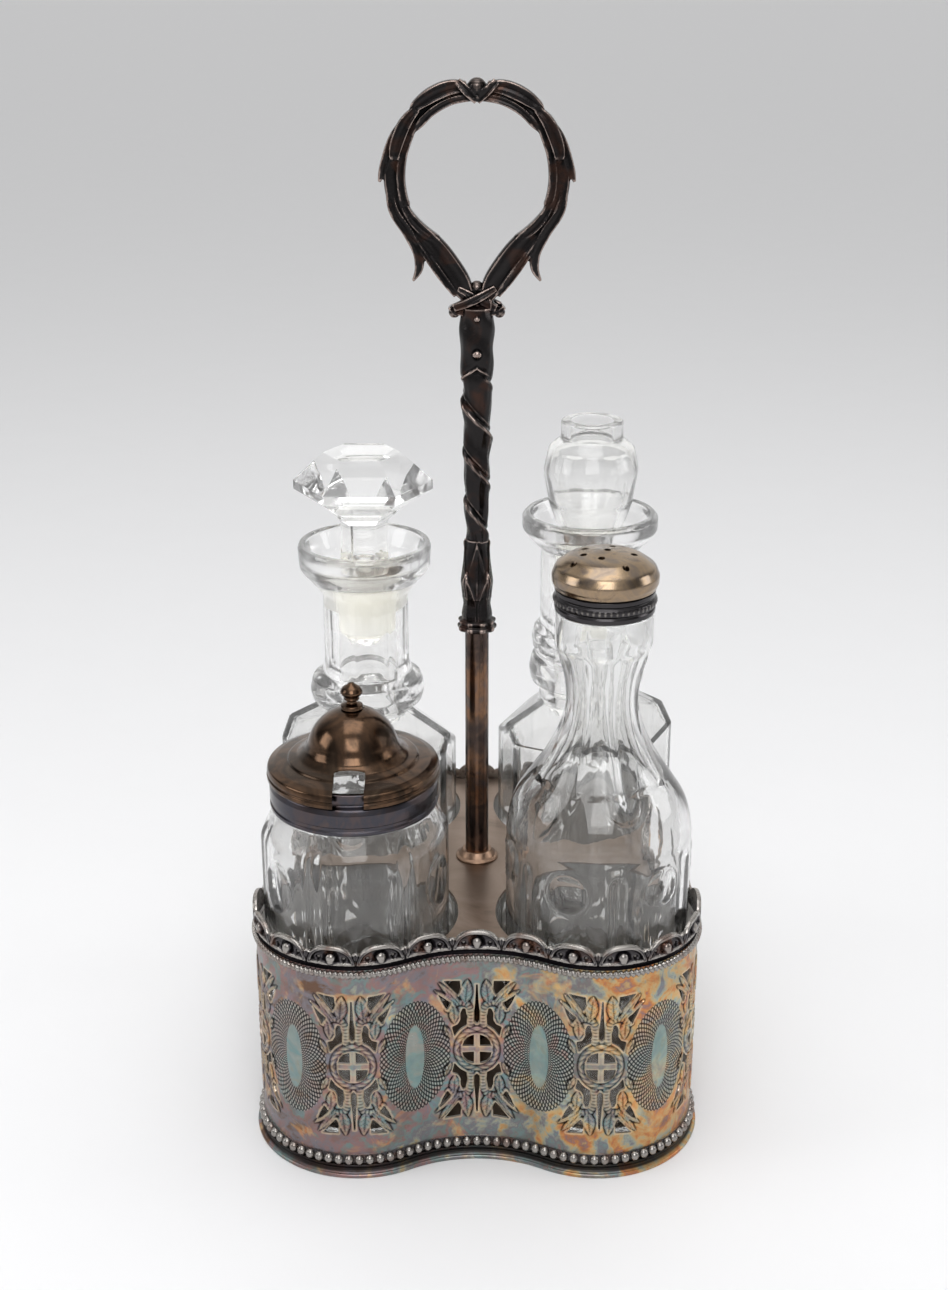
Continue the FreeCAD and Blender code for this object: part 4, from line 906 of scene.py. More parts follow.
def scallop_top(across):
    """Height of the rim's scalloped edge beside a scallop's middle."""
    arch = ARCH_RISE * np.sqrt(np.clip(1 - (np.abs(across) / ARCH_HALF) ** SQUARENESS, 0, 1))
    to_bud = SCALLOP_PITCH / 2 - np.abs(across)
    bud = BUD_LEVEL + np.sqrt(np.clip(BUD_RADIUS ** 2 - to_bud ** 2, 0, None))
    return np.maximum(SCALLOP_BASE + arch, np.where(to_bud < BUD_RADIUS, bud, 0))


def scallop_relief(u, v):
    """How far one scallop stands out: a flat border, a dished field, a boss and two small holes."""
    rise = np.clip(v - SCALLOP_BASE, 0, None)
    ring = np.sqrt((np.abs(u) / ARCH_HALF) ** SQUARENESS + (rise / ARCH_RISE) ** 2)
    depth = np.minimum((1 - ring) * ARCH_RISE * 0.9, v - SCALLOP_BASE)
    out = 0.55 * smooth_step(-0.05, 0.22, depth) * smooth_step(1.12, 0.80, depth)
    out = out - 0.30 * smooth_step(0.8, 2.0, depth)
    boss = np.clip(1 - ((u / BOSS_RADIUS) ** 2 + ((v - BOSS_LEVEL) / BOSS_RADIUS) ** 2), 0, 1)
    out = out + 1.25 * np.sqrt(boss) - 0.14 * bump(np.hypot(u, v - BOSS_LEVEL) - 1.6, 0.3)
    for aside in (-1, 1):
        hole = np.hypot(u - aside * 3.25, v - SCALLOP_BASE - 1.65)
        out = out - 0.40 * bump(hole, 0.75) + 0.14 * bump(hole - 0.8, 0.25)
    to_bud = SCALLOP_PITCH / 2 - np.abs(u)
    bud = np.clip(1 - (np.hypot(to_bud, v - BUD_LEVEL) / BUD_RADIUS) ** 2, 0, 1) * (depth < 0)
    out = out + 0.6 * np.sqrt(bud) - 0.2 * bump(to_bud, 0.3) * (bud > 0)
    return out - 0.15 * (v < SCALLOP_BASE) + 0.45 * smooth_step(0.35, 0.0, v)


def scalloped_rim():
    """The rim: half-round scallops over a groove painted dark as shade, with a plain back."""
    bottom = levels_of("scalloped_rim")[0]
    swing = np.linspace(-math.pi / 2, math.pi / 2, 61)
    gap = np.linspace(ARCH_HALF, SCALLOP_PITCH / 2, 3)[1:]
    across = np.concatenate([-gap[::-1], ARCH_HALF * np.sin(swing), gap])
    top = scallop_top(across)
    share = np.linspace(0, 1, 36) ** 0.95
    u = np.repeat(across[None, :], len(share), 0)
    v = share[:, None] * top[None, :]
    out = scallop_relief(u, v)
    back = -0.5
    rows, cols = u.shape
    points = []
    faces = []
    start = 0
    for number in range(SCALLOPS):
        middle = number * SCALLOP_PITCH
        points.append(gallery_spot(middle + u.ravel(), out.ravel(), bottom + v.ravel()))
        ends = np.concatenate([across, across])
        level = np.concatenate([np.zeros(cols), top])
        points.append(gallery_spot(middle + ends, back, bottom + level))
        rear = start + rows * cols
        for j in range(cols - 1):
            for i in range(rows - 1):
                a = start + i * cols + j
                faces.append((a, a + 1, a + cols + 1, a + cols))
            faces.append((rear + j, rear + cols + j, rear + cols + j + 1, rear + j + 1))
            last = start + (rows - 1) * cols + j
            faces.append((last, last + 1, rear + cols + j + 1, rear + cols + j))
            faces.append((start + j, rear + j, rear + j + 1, start + j + 1))
        start = rear + 2 * cols
    points = np.concatenate(points)
    points, faces, groove = welded(points, faces, points[:, 2] - bottom < SCALLOP_BASE)
    rim = add_piece("rim_scallops", (points, faces), "stand", [DARK], "scalloped_rim",
                    sharp=55)
    # painted shade: the groove under the scallops is marked to be painted dark
    store(rim, "engraving_and_shade", groove)
    mark_wear_and_shading(rim, 0.13)


def rope_cord():
    """A row of slanted pearls, like a fine twisted cord, under the rim."""
    low, high = levels_of("cord_moulding")
    middle = (low + high) / 2 - 0.2
    girth = (high - low) / 2 - 0.1
    pearls = round(AROUND / 1.3)
    steps = pearls * 8
    turn = np.arange(12) * FULL_TURN / 12

    def section(place):
        radius = girth * (0.52 + 0.48 * np.abs(np.sin(math.pi * place * pearls / AROUND + 0.5 * turn)))
        return np.stack([0.15 + radius * np.cos(turn) * 0.85, middle + radius * np.sin(turn)], 1)

    cord = add_piece("cord_twist", swept(section(0), steps, section), "stand", [DARK],
                     "cord_moulding", sharp=80)
    mark_wear_and_shading(cord, 0.12, 4)


def ball(centre, radius, tallness=1.0, sides=12):
    """A small round bead; tallness is its height over its width."""
    levels = np.linspace(-math.pi / 2, math.pi / 2, sides // 2 + 1)
    path = np.stack([radius * np.cos(levels), centre[2] + radius * tallness * np.sin(levels)], 1)
    path[0, 0] = path[-1, 0] = 0
    return turned(path, sides=sides, centre=centre)


def bead_strip():
    """A row of pearls on a plain strip."""
    low, high = levels_of("bead_strip")
    strip = swept(rounded([(-0.02, low), (0.28, low, 0.1), (0.28, high, 0.1), (-0.02, high)], 0.4, True), 700)
    parts = [strip]
    count = round(AROUND / 2.62)
    for place in np.arange(count) * AROUND / count:
        parts.append(ball(gallery_spot(place, 0.3, low + 1.3), 1.24, 1.12, 14))
    beads = add_piece("bead_row", join_parts(parts), "stand", [DARK], "bead_strip", sharp=60)
    mark_wear_and_shading(beads, 0.16)


def foot():
    """The moulded foot: a thin flared edge, a deep cove and a step under the beads."""
    top = levels_of("foot_moulding")[1]
    edge = box_of("foot_moulding")[1][0] - WELL - WALL_RADIUS
    section = rounded([(-0.55, 0), (edge, 0, 0.35), (edge, 1.0, 0.4), (edge - 0.6, 1.15, 0.5),
                       (0.62, 1.55, 0.6), (0.42, 2.3, 0.5), (0.8, 2.75, 0.3), (0.95, 3.1, 0.2),
                       (0.8, top, 0.2), (-0.55, top)], 0.5, True)
    piece = add_piece("foot_edge", swept(section, 620), "stand", [TONED], "foot_moulding")
    levels = np.array([vertex.co.z / MM for vertex in piece.data.vertices])
    # painted shade: the foot above its flared edge, the cove and the step under the beads, is painted near
    # black
    store(piece, "engraving_and_shade", smooth_step(1.1, 1.35, levels))
    store(piece, "oval", np.full((len(levels), 3), (-MOTIF_PITCH / 2, 0, 0)))
    mark_wear_and_shading(piece, 0.25)


# ------------------------------------------------------------ post and handle

def plate_boss():
    """The small cone where the post meets the top plate."""
    low, high = levels_of("plate_boss")
    bore = 3.12
    boss = turned(rounded([(bore, low), (5.75, low, 0.3), (5.75, low + 0.5, 0.4), (4.9, low + 0.9, 0.8),
                           (4.2, high - 0.5, 0.6), (3.9, high, 0.3), (bore, high)], 0.3),
                  np.array([[bore, low], [bore, high]]), sides=64)
    mark_wear_and_shading(add_piece("boss_turned", boss, "stand", [BOSS], "plate_boss"), 0.2)


def handle_ferrule():
    """The ringed ferrule at the foot of the handle, with a faintly lobed edge."""
    low, high = levels_of("handle_ferrule")
    middle = (low + high) / 2

    def wavy(radius, height, turn):
        return radius + 0.22 * np.sin(9 * turn + 0.4) * smooth_step(3.4, 4.6, radius)

    ferrule = turned(rounded([(0, low - 0.1), (3.3, low - 0.1), (4.9, low, 0.7), (5.0, low + 1.15, 0.6),
                              (4.3, middle - 0.1, 0.3), (4.6, middle + 0.4, 0.4), (4.85, high - 0.5, 0.7),
                              (3.7, high + 0.1, 0.4), (0, high + 0.1)], 0.3), sides=96, outer_shape=wavy)
    mark_wear_and_shading(add_piece("ferrule_rings", ferrule, "stand", [HANDLE], "handle_ferrule"), 0.16)


def leaf_calyx():
    """Two rows of four ribbed leaves that hold the stem."""
    low, high = levels_of("leaf_calyx")
    leaf_count = 4

    def leafy(radius, height, turn):
        rise = (height - low) / (high - low)
        made = radius * 1.0
        for row, (start, end) in enumerate(((0.02, 0.62), (0.30, 1.0))):
            share = np.clip((rise - start) / (end - start), 0, 1.2)
            aside = np.abs((turn * leaf_count / FULL_TURN + 0.5 * row) % 1.0 - 0.5) * 2
            width = np.clip(1.15 - share ** 1.6 * 1.15, 0, 1)
            leaf = smooth_step(0.10, -0.10, aside - width) * (share < 1.02) * (rise > start - 0.03)
            rib = 0.16 * np.exp(-(aside / 0.16) ** 2) + 0.10 * np.exp(-((aside - width + 0.12) / 0.10) ** 2)
            made = made + leaf * (0.12 + 0.32 * smooth_step(0.55, 1.0, share) + rib)
        return made

    calyx = turned(spaced(rounded([(0, low - 0.1), (3.7, low - 0.1, 0.2), (3.75, low + 1.2, 0.6),
                                   (3.3, low + 3.9, 3.0), (3.95, low + 10.0, 6.0), (2.75, high - 2.0, 4.0),
                                   (2.85, high + 0.2), (0, high + 0.2)], 0.25), 0.25),
                   sides=168, outer_shape=leafy)
    mark_wear_and_shading(add_piece("calyx_leaves", calyx, "stand", [HANDLE], "leaf_calyx"), 0.13)


def twisted_stem():
    """The bark-like stem, with a vine wound round it up to a fork with two buds above."""
    low, high = levels_of("twisted_stem")
    vine_pitch = 12.8
    bark_pitch = 9.3
    fork_level = high - 14.5

    def vine(radius, height, turn):
        share = (turn + math.pi / 2) / FULL_TURN + 0.5
        wound = share - 0.115 * np.sin(FULL_TURN * share)
        phase = (height - low - 0.7) / vine_pitch + wound
        rise = phase - np.floor(phase)
        lip = 0.66 * rise ** 3 * smooth_step(1.0, 0.90, rise) + 0.12 * bump(rise - 0.87, 0.07)
        second = (rise + 0.48) % 1.0
        groove = -0.22 * bump(second - 0.5, 0.06) + 0.10 * bump(second - 0.58, 0.06)
        faded = smooth_step(fork_level - 0.5, fork_level - 4.0, height)
        bark = 0.07 * np.sin(5 * turn + 0.5 * height) * np.sin(0.4 * height - 2 * turn)
        bark = bark + 0.03 * np.sin(11 * turn - 0.2 * height)
        bark = bark + 0.16 * np.sin(FULL_TURN * height / bark_pitch + 2 * turn)
        arc = np.abs(aside_from(turn, 0, radius))
        above_fork = height - (fork_level - 0.62 * arc)
        fork = 0.45 * bump(above_fork, 0.75) * smooth_step(6.5, 5.0, arc)
        neck = 0.35 * smooth_step(0.0, 1.5, above_fork)
        made = radius - 0.25 + (lip + groove) * faded + bark + fork + neck
        for level, size in ((fork_level + 3.6, 1.05), (fork_level + 12.2, 0.7)):
            made = made + size * np.sqrt(np.clip(1 - (arc ** 2 + (height - level) ** 2) / size ** 2, 0, 1))
        return made

    stem = turned(spaced(rounded([(0, low - 0.3), (2.9, low - 0.3), (3.4, low + 18, 20.0),
                                  (3.7, low + 37, 20.0), (4.15, high - 5.0, 6.0), (3.9, high),
                                  (0, high)], 0.25), 0.25),
                  sides=150, outer_shape=vine)
    mark_wear_and_shading(add_piece("stem_vine", stem, "stand", [HANDLE], "twisted_stem"), 0.12, 4)


def strand(corners, step=0.5):
    """A leaf-shaped bar along (x, z) corners that carry a half-width, a half-depth and a place in y.

    Its section has one broad hollow, a little off its middle, between two rounded lips.
    """
    corners = np.array(corners, float)
    lengths = np.concatenate([[0], np.cumsum(np.hypot(*np.diff(corners[:, :2], axis=0).T))])
    count = max(6, int(lengths[-1] / step))
    run = np.linspace(0, lengths[-1], count)
    samples = np.stack([catmull(lengths, corners[:, k], run) for k in range(5)], 1)
    ahead = np.gradient(samples[:, :2], axis=0)
    ahead /= np.hypot(*ahead.T)[:, None]
    aside = np.stack([-ahead[:, 1], ahead[:, 0]], 1)
    around = np.arange(40) * FULL_TURN / 40
    across = np.cos(around)
    share = np.abs(across)
    body = np.sqrt(np.clip(1 - share ** 2, 0, 1))
    hollow = -0.17 * np.exp(-((across - 0.12) / 0.42) ** 2)
    lip = 0.22 * np.exp(-((share - 0.82) / 0.10) ** 2)
    deep = np.sign(np.sin(around)) * np.clip(body ** 0.6 * 0.86 + hollow + lip, 0, None) * (body > 1e-6)
    thinnest = 0.05
    points = []
    for (x, z, width, depth, back), facing in zip(samples, aside):
        spots = np.array([x, z]) + facing * (across * max(width, thinnest))[:, None]
        points.append(np.stack([spots[:, 0], back + deep * max(depth, thinnest), spots[:, 1]], 1))
    points = np.concatenate(points)
    sides = len(around)
    faces = []
    for i in range(count - 1):
        for j in range(sides):
            beside = (j + 1) % sides
            faces.append((i * sides + j, i * sides + beside, (i + 1) * sides + beside, (i + 1) * sides + j))
    faces.append(tuple(range(sides))[::-1])
    faces.append(tuple((count - 1) * sides + j for j in range(sides)))
    return points, faces


def catmull(places, values, at):
    """Values of a smooth curve through given ones."""
    slopes = np.gradient(values, places)
    index = np.clip(np.searchsorted(places, at, "right") - 1, 0, len(places) - 2)
    gap = places[index + 1] - places[index]
    share = (at - places[index]) / gap
    rest = 1 - share
    return (values[index] * (1 + 2 * share) * rest ** 2 + values[index + 1] * (1 + 2 * rest) * share ** 2
            + gap * (slopes[index] * share * rest ** 2 - slopes[index + 1] * rest * share ** 2))


def on_ring(angle, radius):
    """Place on the ring in x and z; the angle is from the top, in degrees."""
    turn = math.radians(angle)
    return radius * math.sin(turn), RING_LEVEL + radius * math.cos(turn)


RING_TOP = levels_of("ring_handle")[1]
RING_LEVEL = RING_TOP - 22.8
# Strands of the right half on the ring: (angle from the top, radius, half-width, half-depth)
TOP_LEAF = ((7, 20.7, 1.3, 1.7), (16, 21.2, 1.8, 2.0), (28, 21.4, 1.95, 2.15), (38, 21.5, 1.6, 2.0),
            (44, 21.6, 1.0, 1.8), (46.5, 21.6, 0.3, 1.2))
INNER_BAND = ((0, 18.3, 0.9, 1.6), (20, 18.3, 1.0, 1.8), (38, 18.2, 1.0, 1.8), (50, 18.0, 0.8, 1.5),
              (54, 17.8, 0.2, 1.0))
CORE = ((0, 19.6, 1.6, 1.2), (25, 19.8, 1.9, 1.3), (50, 19.9, 2.2, 1.4), (75, 19.9, 2.35, 1.5),
        (100, 19.8, 2.4, 1.6), (122, 19.7, 2.3, 1.7), (138, 19.4, 2.4, 1.8))
SHOULDER_LEAF = ((42, 21.0, 1.0, 1.9), (52, 20.9, 1.6, 2.2), (64, 20.5, 1.8, 2.35), (74, 20.2, 1.5, 2.3),
                 (78, 20.0, 1.1, 2.1), (79.5, 19.9, 0.3, 1.5))
OUTER_SPUR = ((50, 21.6, 0.8, 1.4), (66, 21.7, 1.1, 1.6), (80, 22.0, 1.1, 1.6), (88, 22.6, 0.9, 1.4),
              (93, 23.3, 0.35, 0.9))
INNER_STEP = ((56, 18.3, 0.6, 1.3), (75, 18.1, 1.0, 1.8), (95, 18.1, 1.1, 1.9), (108, 18.1, 1.0, 1.8),
              (112.5, 17.9, 0.7, 1.5), (114, 17.8, 0.2, 1.0))
LOW_STEP = ((104, 18.9, 0.6, 1.5), (120, 18.4, 1.2, 2.0), (134, 17.9, 1.3, 2.1), (142, 17.5, 1.1, 2.0),
            (146, 17.0, 0.7, 1.6), (147.5, 16.6, 0.2, 1.1))
# Strands below it: (x, height above the ring's centre, half-width, half-depth)
LOW_SPUR = ((21.0, -2.0, 0.9, 1.3), (20.0, -7.5, 1.3, 1.9), (16.2, -13.6, 1.4, 2.0), (14.0, -18.6, 1.3, 1.7),
            (14.1, -22.0, 1.0, 1.3), (15.5, -24.7, 0.3, 0.7))
ARM = ((15.2, -11.5, 1.6, 1.6), (11.9, -14.8, 2.6, 2.1), (6.9, -21.2, 3.1, 2.3), (3.75, -25.9, 2.7, 2.2),
       (2.0, -29.0, 1.6, 2.0))
FOLD = ((13.6, -16.5, 0.6, 1.6), (10.8, -20.2, 1.1, 2.5), (7.6, -24.6, 1.1, 2.6), (5.0, -28.0, 0.8, 2.2))


def ring_handle():
    """The finger ring, grown together from overlapping cast leaves."""
    parts = []
    for side in (-1, 1):
        for leaf in (TOP_LEAF, INNER_BAND, CORE, SHOULDER_LEAF, OUTER_SPUR, INNER_STEP, LOW_STEP):
            spots = [(*on_ring(angle, radius), width, depth) for angle, radius, width, depth in leaf]
            parts.append(strand([(side * x, z, width, depth, 0) for x, z, width, depth in spots]))
        for leaf in (LOW_SPUR, ARM, FOLD):
            parts.append(strand([(side * x, RING_LEVEL + z, width, depth, 0) for x, z, width, depth in leaf]))
    heart = RING_TOP - 2.6
    for side in (-1, 1):
        parts.append(strand([(side * 4.6, heart + 1.6, 0.9, 2.1, 0), (side * 2.6, heart - 0.4, 1.2, 2.5, 0),
                             (0, heart - 2.9, 0.9, 2.4, 0)]))
    parts.append(ball((0, 0, heart + 0.2), 2.3, 0.98, 20))
    ring = fused("ring_leafwork", join_parts(parts), 0.2)
    dress(ring, "stand", [HANDLE], "ring_handle", 80)
    mark_wear_and_shading(ring, 0.1)


def binding_knot():
    """Two crossed bands, a ball above them and a scroll ear on each side."""
    low = levels_of("binding_knot")[0] + 1.8
    parts = [
        strand([(-5.7, low + 0.7, 1.0, 1.2, -1.3), (-3.0, low + 1.8, 1.15, 1.5, -2.0),
                (0.5, low + 3.4, 1.15, 1.5, -2.2), (4.6, low + 5.6, 0.8, 1.2, -1.3)]),
        strand([(-4.6, low + 5.4, 0.7, 1.0, -1.0), (-2.2, low + 4.2, 0.9, 1.2, -1.5),
                (1.0, low + 2.4, 0.9, 1.2, -1.4), (4.8, low + 0.6, 0.9, 1.2, -0.9)]),
        strand([(5.7, low + 0.7, 1.0, 1.2, 1.3), (3.0, low + 1.8, 1.15, 1.5, 2.0),
                (-0.5, low + 3.4, 1.15, 1.5, 2.2), (-4.6, low + 5.6, 0.8, 1.2, 1.3)]),
        strand([(-4.4, low + 0.3, 1.5, 2.3, 0), (0, low - 0.2, 1.8, 2.7, 0), (4.4, low + 0.3, 1.5, 2.3, 0)]),
        strand([(0, low - 1.5, 3.4, 2.6, 0), (0, low + 2.0, 4.2, 2.7, 0), (0, low + 5.2, 2.2, 2.1, 0)]),
        ball((0, 0, low + 5.4), 1.75, 1.0, 18)]
    for side in (-1, 1):
        scroll = []
        for k in np.arange(0, 13) / 12:
            reach = 1.35 - 0.9 * k
            scroll.append((side * (5.4 + reach * math.cos(4.4 * k + 0.4)),
                           low - 0.4 + reach * math.sin(-4.4 * k + 1.2), 0.62, 2.1 - 0.3 * k, 0))
        parts.append(strand(scroll, 0.35))
        parts.append(ball((side * 5.5, -0.3, low - 0.5), 1.45, 1.0, 16))
    knot = fused("knot_bands", join_parts(parts), 0.2)
    dress(knot, "stand", [HANDLE], "binding_knot", 80)
    mark_wear_and_shading(knot, 0.1)


# ------------------------------------------------------------ glass and lids

# The angle of the front, and the middles of the four wells
FRONT = -math.pi / 2
JAR_PLACE = (-WELL, -WELL)
PEPPER_PLACE = (WELL, -WELL)
OIL_PLACE = (-WELL, WELL)
VINEGAR_PLACE = (WELL, WELL)


def aside_from(turn, degrees, radius):
    """Distance round a turned piece from a direction given in degrees right of the front."""
    gap = (turn - FRONT - math.radians(degrees) + math.pi) % FULL_TURN - math.pi
    return gap * radius


def blown(radius, height, turn, depth=0.05):
    """The slow unevenness of a blown or pressed inside."""
    slow = np.sin(3 * turn + height * 0.11) * np.sin(height * 0.19 + turn)
    quick = 0.6 * np.sin(7 * turn - height * 0.07)
    fine = 0.5 * np.sin(11 * turn + height * 0.31)
    return radius + depth * (slow + quick + fine)


def pillar(gap, height, top, half, width, rise):
    """Rise of a round-topped pillar pressed in the glass, from the distance beside its middle."""
    crown = top - half + np.sqrt(np.clip(half ** 2 - gap ** 2, 0, None))
    return rise * bump(gap, width) * smooth_step(crown, crown - 1.2, height)


def pressed_foot(low, body):
    """Outline of a pressed bottle's foot, up to its wall."""
    return [(0, low), (19.4, low, 1.0), (22.6, low + 1.6, 3.0), (body, low + 5.0, 3.0)]


def pressed_bowl(low):
    """Outline of the inside of a pressed bottle's foot."""
    return [(0, low + 4.4), (19.6, low + 4.4, 3.5), (20.9, low + 9.0, 4.0)]


def mustard_jar():
    """Straight round jar with six round-topped pillars and three thumbprints."""
    low = levels_of("mustard_jar")[0]
    body = JAR_RADIUS - 0.35
    pillar_top = 90.0
    print_level = 76.5
    print_half_width = 5.2
    print_half_height = 6.7

    def pressed(radius, height, turn):
        made = radius * 1.0
        upright = smooth_step(body - 6, body - 1, radius)
        for k in range(6):
            gap = aside_from(turn, -23 + 60 * k, body)
            made = made + pillar(gap, height, pillar_top, 1.3, 1.9, 0.42) * upright
            beside = smooth_step(pillar_top + 1.0, pillar_top - 1.0, height)
            made = made - 0.20 * bump(np.abs(gap) - 2.2, 0.8) * beside * upright
        for k in range(3):
            gap = aside_from(turn, -53 + 120 * k, body)
            reach = np.hypot(gap / print_half_width, (height - print_level) / print_half_height)
            made = made - 1.15 * np.clip(1 - reach ** 2, 0, 1) + 0.30 * bump(reach - 1.0, 0.12)
        return made

    outer = rounded([*pressed_foot(low, body), (body, 86.5, 6.5), (20.3, 93.6, 1.2), (20.3, 100.5, 0.6),
                     (17.9, 100.5, 0.6)], 0.8)
    inner = rounded([*pressed_bowl(low), (20.9, 86.0, 6.0), (17.2, 93.0, 2.0), (17.2, 100.1, 0.3),
                     (17.5, 100.5)], 1.0)
    add_piece("jar_glass", turned(outer, inner, 216, pressed, blown, JAR_PLACE), "mustard_pot",
              [WAVY_GLASS], "mustard_jar", sharp=60)


def pepper_bottle():
    """Waisted bottle with a ring of thumbprints, round-topped pillars between them and a fluted neck."""
    low, top = levels_of("pepper_bottle")
    body = JAR_RADIUS - 0.2
    pillar_top = 84.0
    print_level = 79.0
    print_radius = 5.1

    def pressed(radius, height, turn):
        made = radius * 1.0
        for k in range(6):
            gap = aside_from(turn, -22 + 60 * k, body)
            reach = np.hypot(gap, height - print_level) / print_radius
            made = made - 1.0 * np.clip(1 - reach ** 2, 0, 1) * (radius > 15)
            made = made + 0.28 * bump(reach - 1.0, 0.13) * (radius > 15) * (radius < body + 0.01)
            gap = aside_from(turn, 8 + 60 * k, body)
            made = made + pillar(gap, height, pillar_top, 1.6, 2.3, 0.40) * (radius > 18)
        fluted = smooth_step(96, 108, height) * smooth_step(137.5, 134.5, height)
        return flat_sided(made, turn, 8, 0.95 * fluted, math.pi / 8 + 0.09)

    heights = np.array([86.0, 90, 95, 100, 106, 112, 118, 124, 130, 135, 138.5])
    waist = np.array([body, body - 0.5, 21.7, 18.9, 15.0, 11.9, 10.0, 9.5, 10.3, 11.7, 12.0])
    levels = np.arange(87.0, 138.5, 0.8)
    flank = [tuple(spot) for spot in np.stack([catmull(heights, waist, levels), levels], 1)]
    outer = rounded([*pressed_foot(low, body), *flank, (12.0, 145.3, 0.3), (11.3, 145.4, 0.1),
                     (11.3, top, 0.5), (8.9, top)], 0.8)
    lining = [(reach - 2.1 - 0.4 * (reach > 18), level) for reach, level in flank]
    inner = rounded([*pressed_bowl(low), *lining, (8.8, top - 1.0, 0.5), (8.7, top)], 1.0)
    add_piece("pepper_glass", turned(outer, inner, 216, pressed, blown, PEPPER_PLACE), "pepper_pot",
              [WAVY_GLASS], "pepper_bottle", sharp=60)


# Radius in a path that stands for the wall of a cut-corner bottle's body
BLOCK_RADIUS = 24.0


def cut_corner(half, cut, shoulder, shoulder_top, top_half, turn_degrees, neck_radius, low):
    """A shape function for a square body with cut corners, flat shoulders and a round neck.

    The path's block radius stands for the body's wall. Half and cut are how far its sides and its cut
    corners are from the axis.
    """
    crispness = 46
    foot_bevel = 1.4
    foot_rise = 2.2

    def shape(radius, height, turn):
        slope = np.clip((height - shoulder) / (shoulder_top - shoulder), 0, 1)
        foot = foot_bevel * (1 - smooth_step(low, low + foot_rise, height))
        flat = half + (top_half - half) * slope - foot
        wide = math.radians(turn_degrees + 45)
        to_flat = np.abs((turn - wide + math.pi / 4) % (math.pi / 2) - math.pi / 4)
        to_cut = np.abs((turn - wide) % (math.pi / 2) - math.pi / 4)
        square = (flat / np.cos(to_flat)) ** -crispness + ((cut - foot) / np.cos(to_cut)) ** -crispness
        wall = np.maximum(square ** (-1 / crispness), neck_radius + 0.05)
        above = np.where(height < shoulder_top + 0.095, np.minimum(radius, wall), radius)
        return np.where(height <= shoulder_top + 0.001, wall * np.minimum(radius / BLOCK_RADIUS, 1), above)

    return shape


def cut_bowl(low):
    """Outline of the inside of a cut-corner bottle's foot."""
    return [(0, low + 4.3), (21.0, low + 4.3, 3.0), (BLOCK_RADIUS, low + 8.0, 3.0)]


def flat_sided(radius, turn, sides, strength, offset=0.0):
    """A round radius taken towards a polygon's."""
    step = FULL_TURN / sides
    folded = (turn + offset) % step - step / 2
    return radius * (1 - strength + strength * math.cos(step / 2) / np.cos(folded))


def oil_bottle():
    """Cut-corner bottle with a heavy neck ring, a flat-sided neck and a dished lip."""
    low, high = levels_of("oil_bottle")
    body = cut_corner(21.8, 24.3, 84.0, 94.0, 9.8, -15.0, 12.1, low)
    hollow = cut_corner(19.5, 21.9, 82.8, 92.4, 7.9, -15.0, 7.9, low + 4.3)

    def shape(radius, height, turn):
        made = body(radius, height, turn)
        flats = smooth_step(106, 109, height) * smooth_step(130, 127, height)
        return flat_sided(1.0, turn, 8, 0.4 * flats, 0.2) * made

    outer = rounded([(0, low), (BLOCK_RADIUS, low), (BLOCK_RADIUS, 94.0), (12.2, 94.1), (12.3, 95.0, 0.5),
                     (15.3, 96.4, 1.6), (16.1, 99.6, 2.4), (15.3, 103.2, 1.8), (12.4, 105.2, 0.9),
                     (12.1, 108.0, 2.0), (12.1, 128.5, 3.0), (15.0, 132.2, 3.0), (18.0, 135.6, 3.0),
                     (18.3, 141.2, 1.2), (17.8, high, 0.6), (16.9, high)], 0.8)
    inner = rounded([*cut_bowl(low), (BLOCK_RADIUS, 92.4), (8.0, 92.5), (7.95, 116.0, 2.0),
                     (8.45, 133.4, 1.6), (13.8, 136.6, 3.0), (16.3, 141.4, 0.8), (16.6, high)], 1.0)
    bottle = add_piece("oil_glass", turned(outer, inner, 240, shape, hollow, OIL_PLACE), "oil_flask",
                       [GLASS, FROSTED], "oil_bottle", sharp=34)
    mark_ground(bottle, OIL_PLACE, 123.5, 134.2, outer=9.0)


def oil_stopper():
    """Six-sided mushroom stopper on a ground plug."""
    low, high = levels_of("oil_stopper")

    def shape(radius, height, turn):
        return flat_sided(radius, turn, 6, smooth_step(136.5, 138.5, height))

    outer = rounded([(0, low), (3.6, low, 0.8), (7.6, 118.0, 1.5), (8.05, 134.4, 0.8), (6.6, 137.6, 1.0),
                     (6.3, 143.0, 3.0), (6.5, 148.6, 1.5), (11.5, 152.9), (18.9, 157.4, 0.25),
                     (18.9, 159.9, 0.25), (15.0, 163.4), (10.6, high, 0.25), (0, high)], 0.9)
    stopper = add_piece("oil_stopper_cut", turned(outer, outer_shape=shape, centre=OIL_PLACE), "oil_plug",
                        [GLASS, FROSTED], "oil_stopper", sharp=14)
    mark_ground(stopper, OIL_PLACE, 117.6, 134.8)


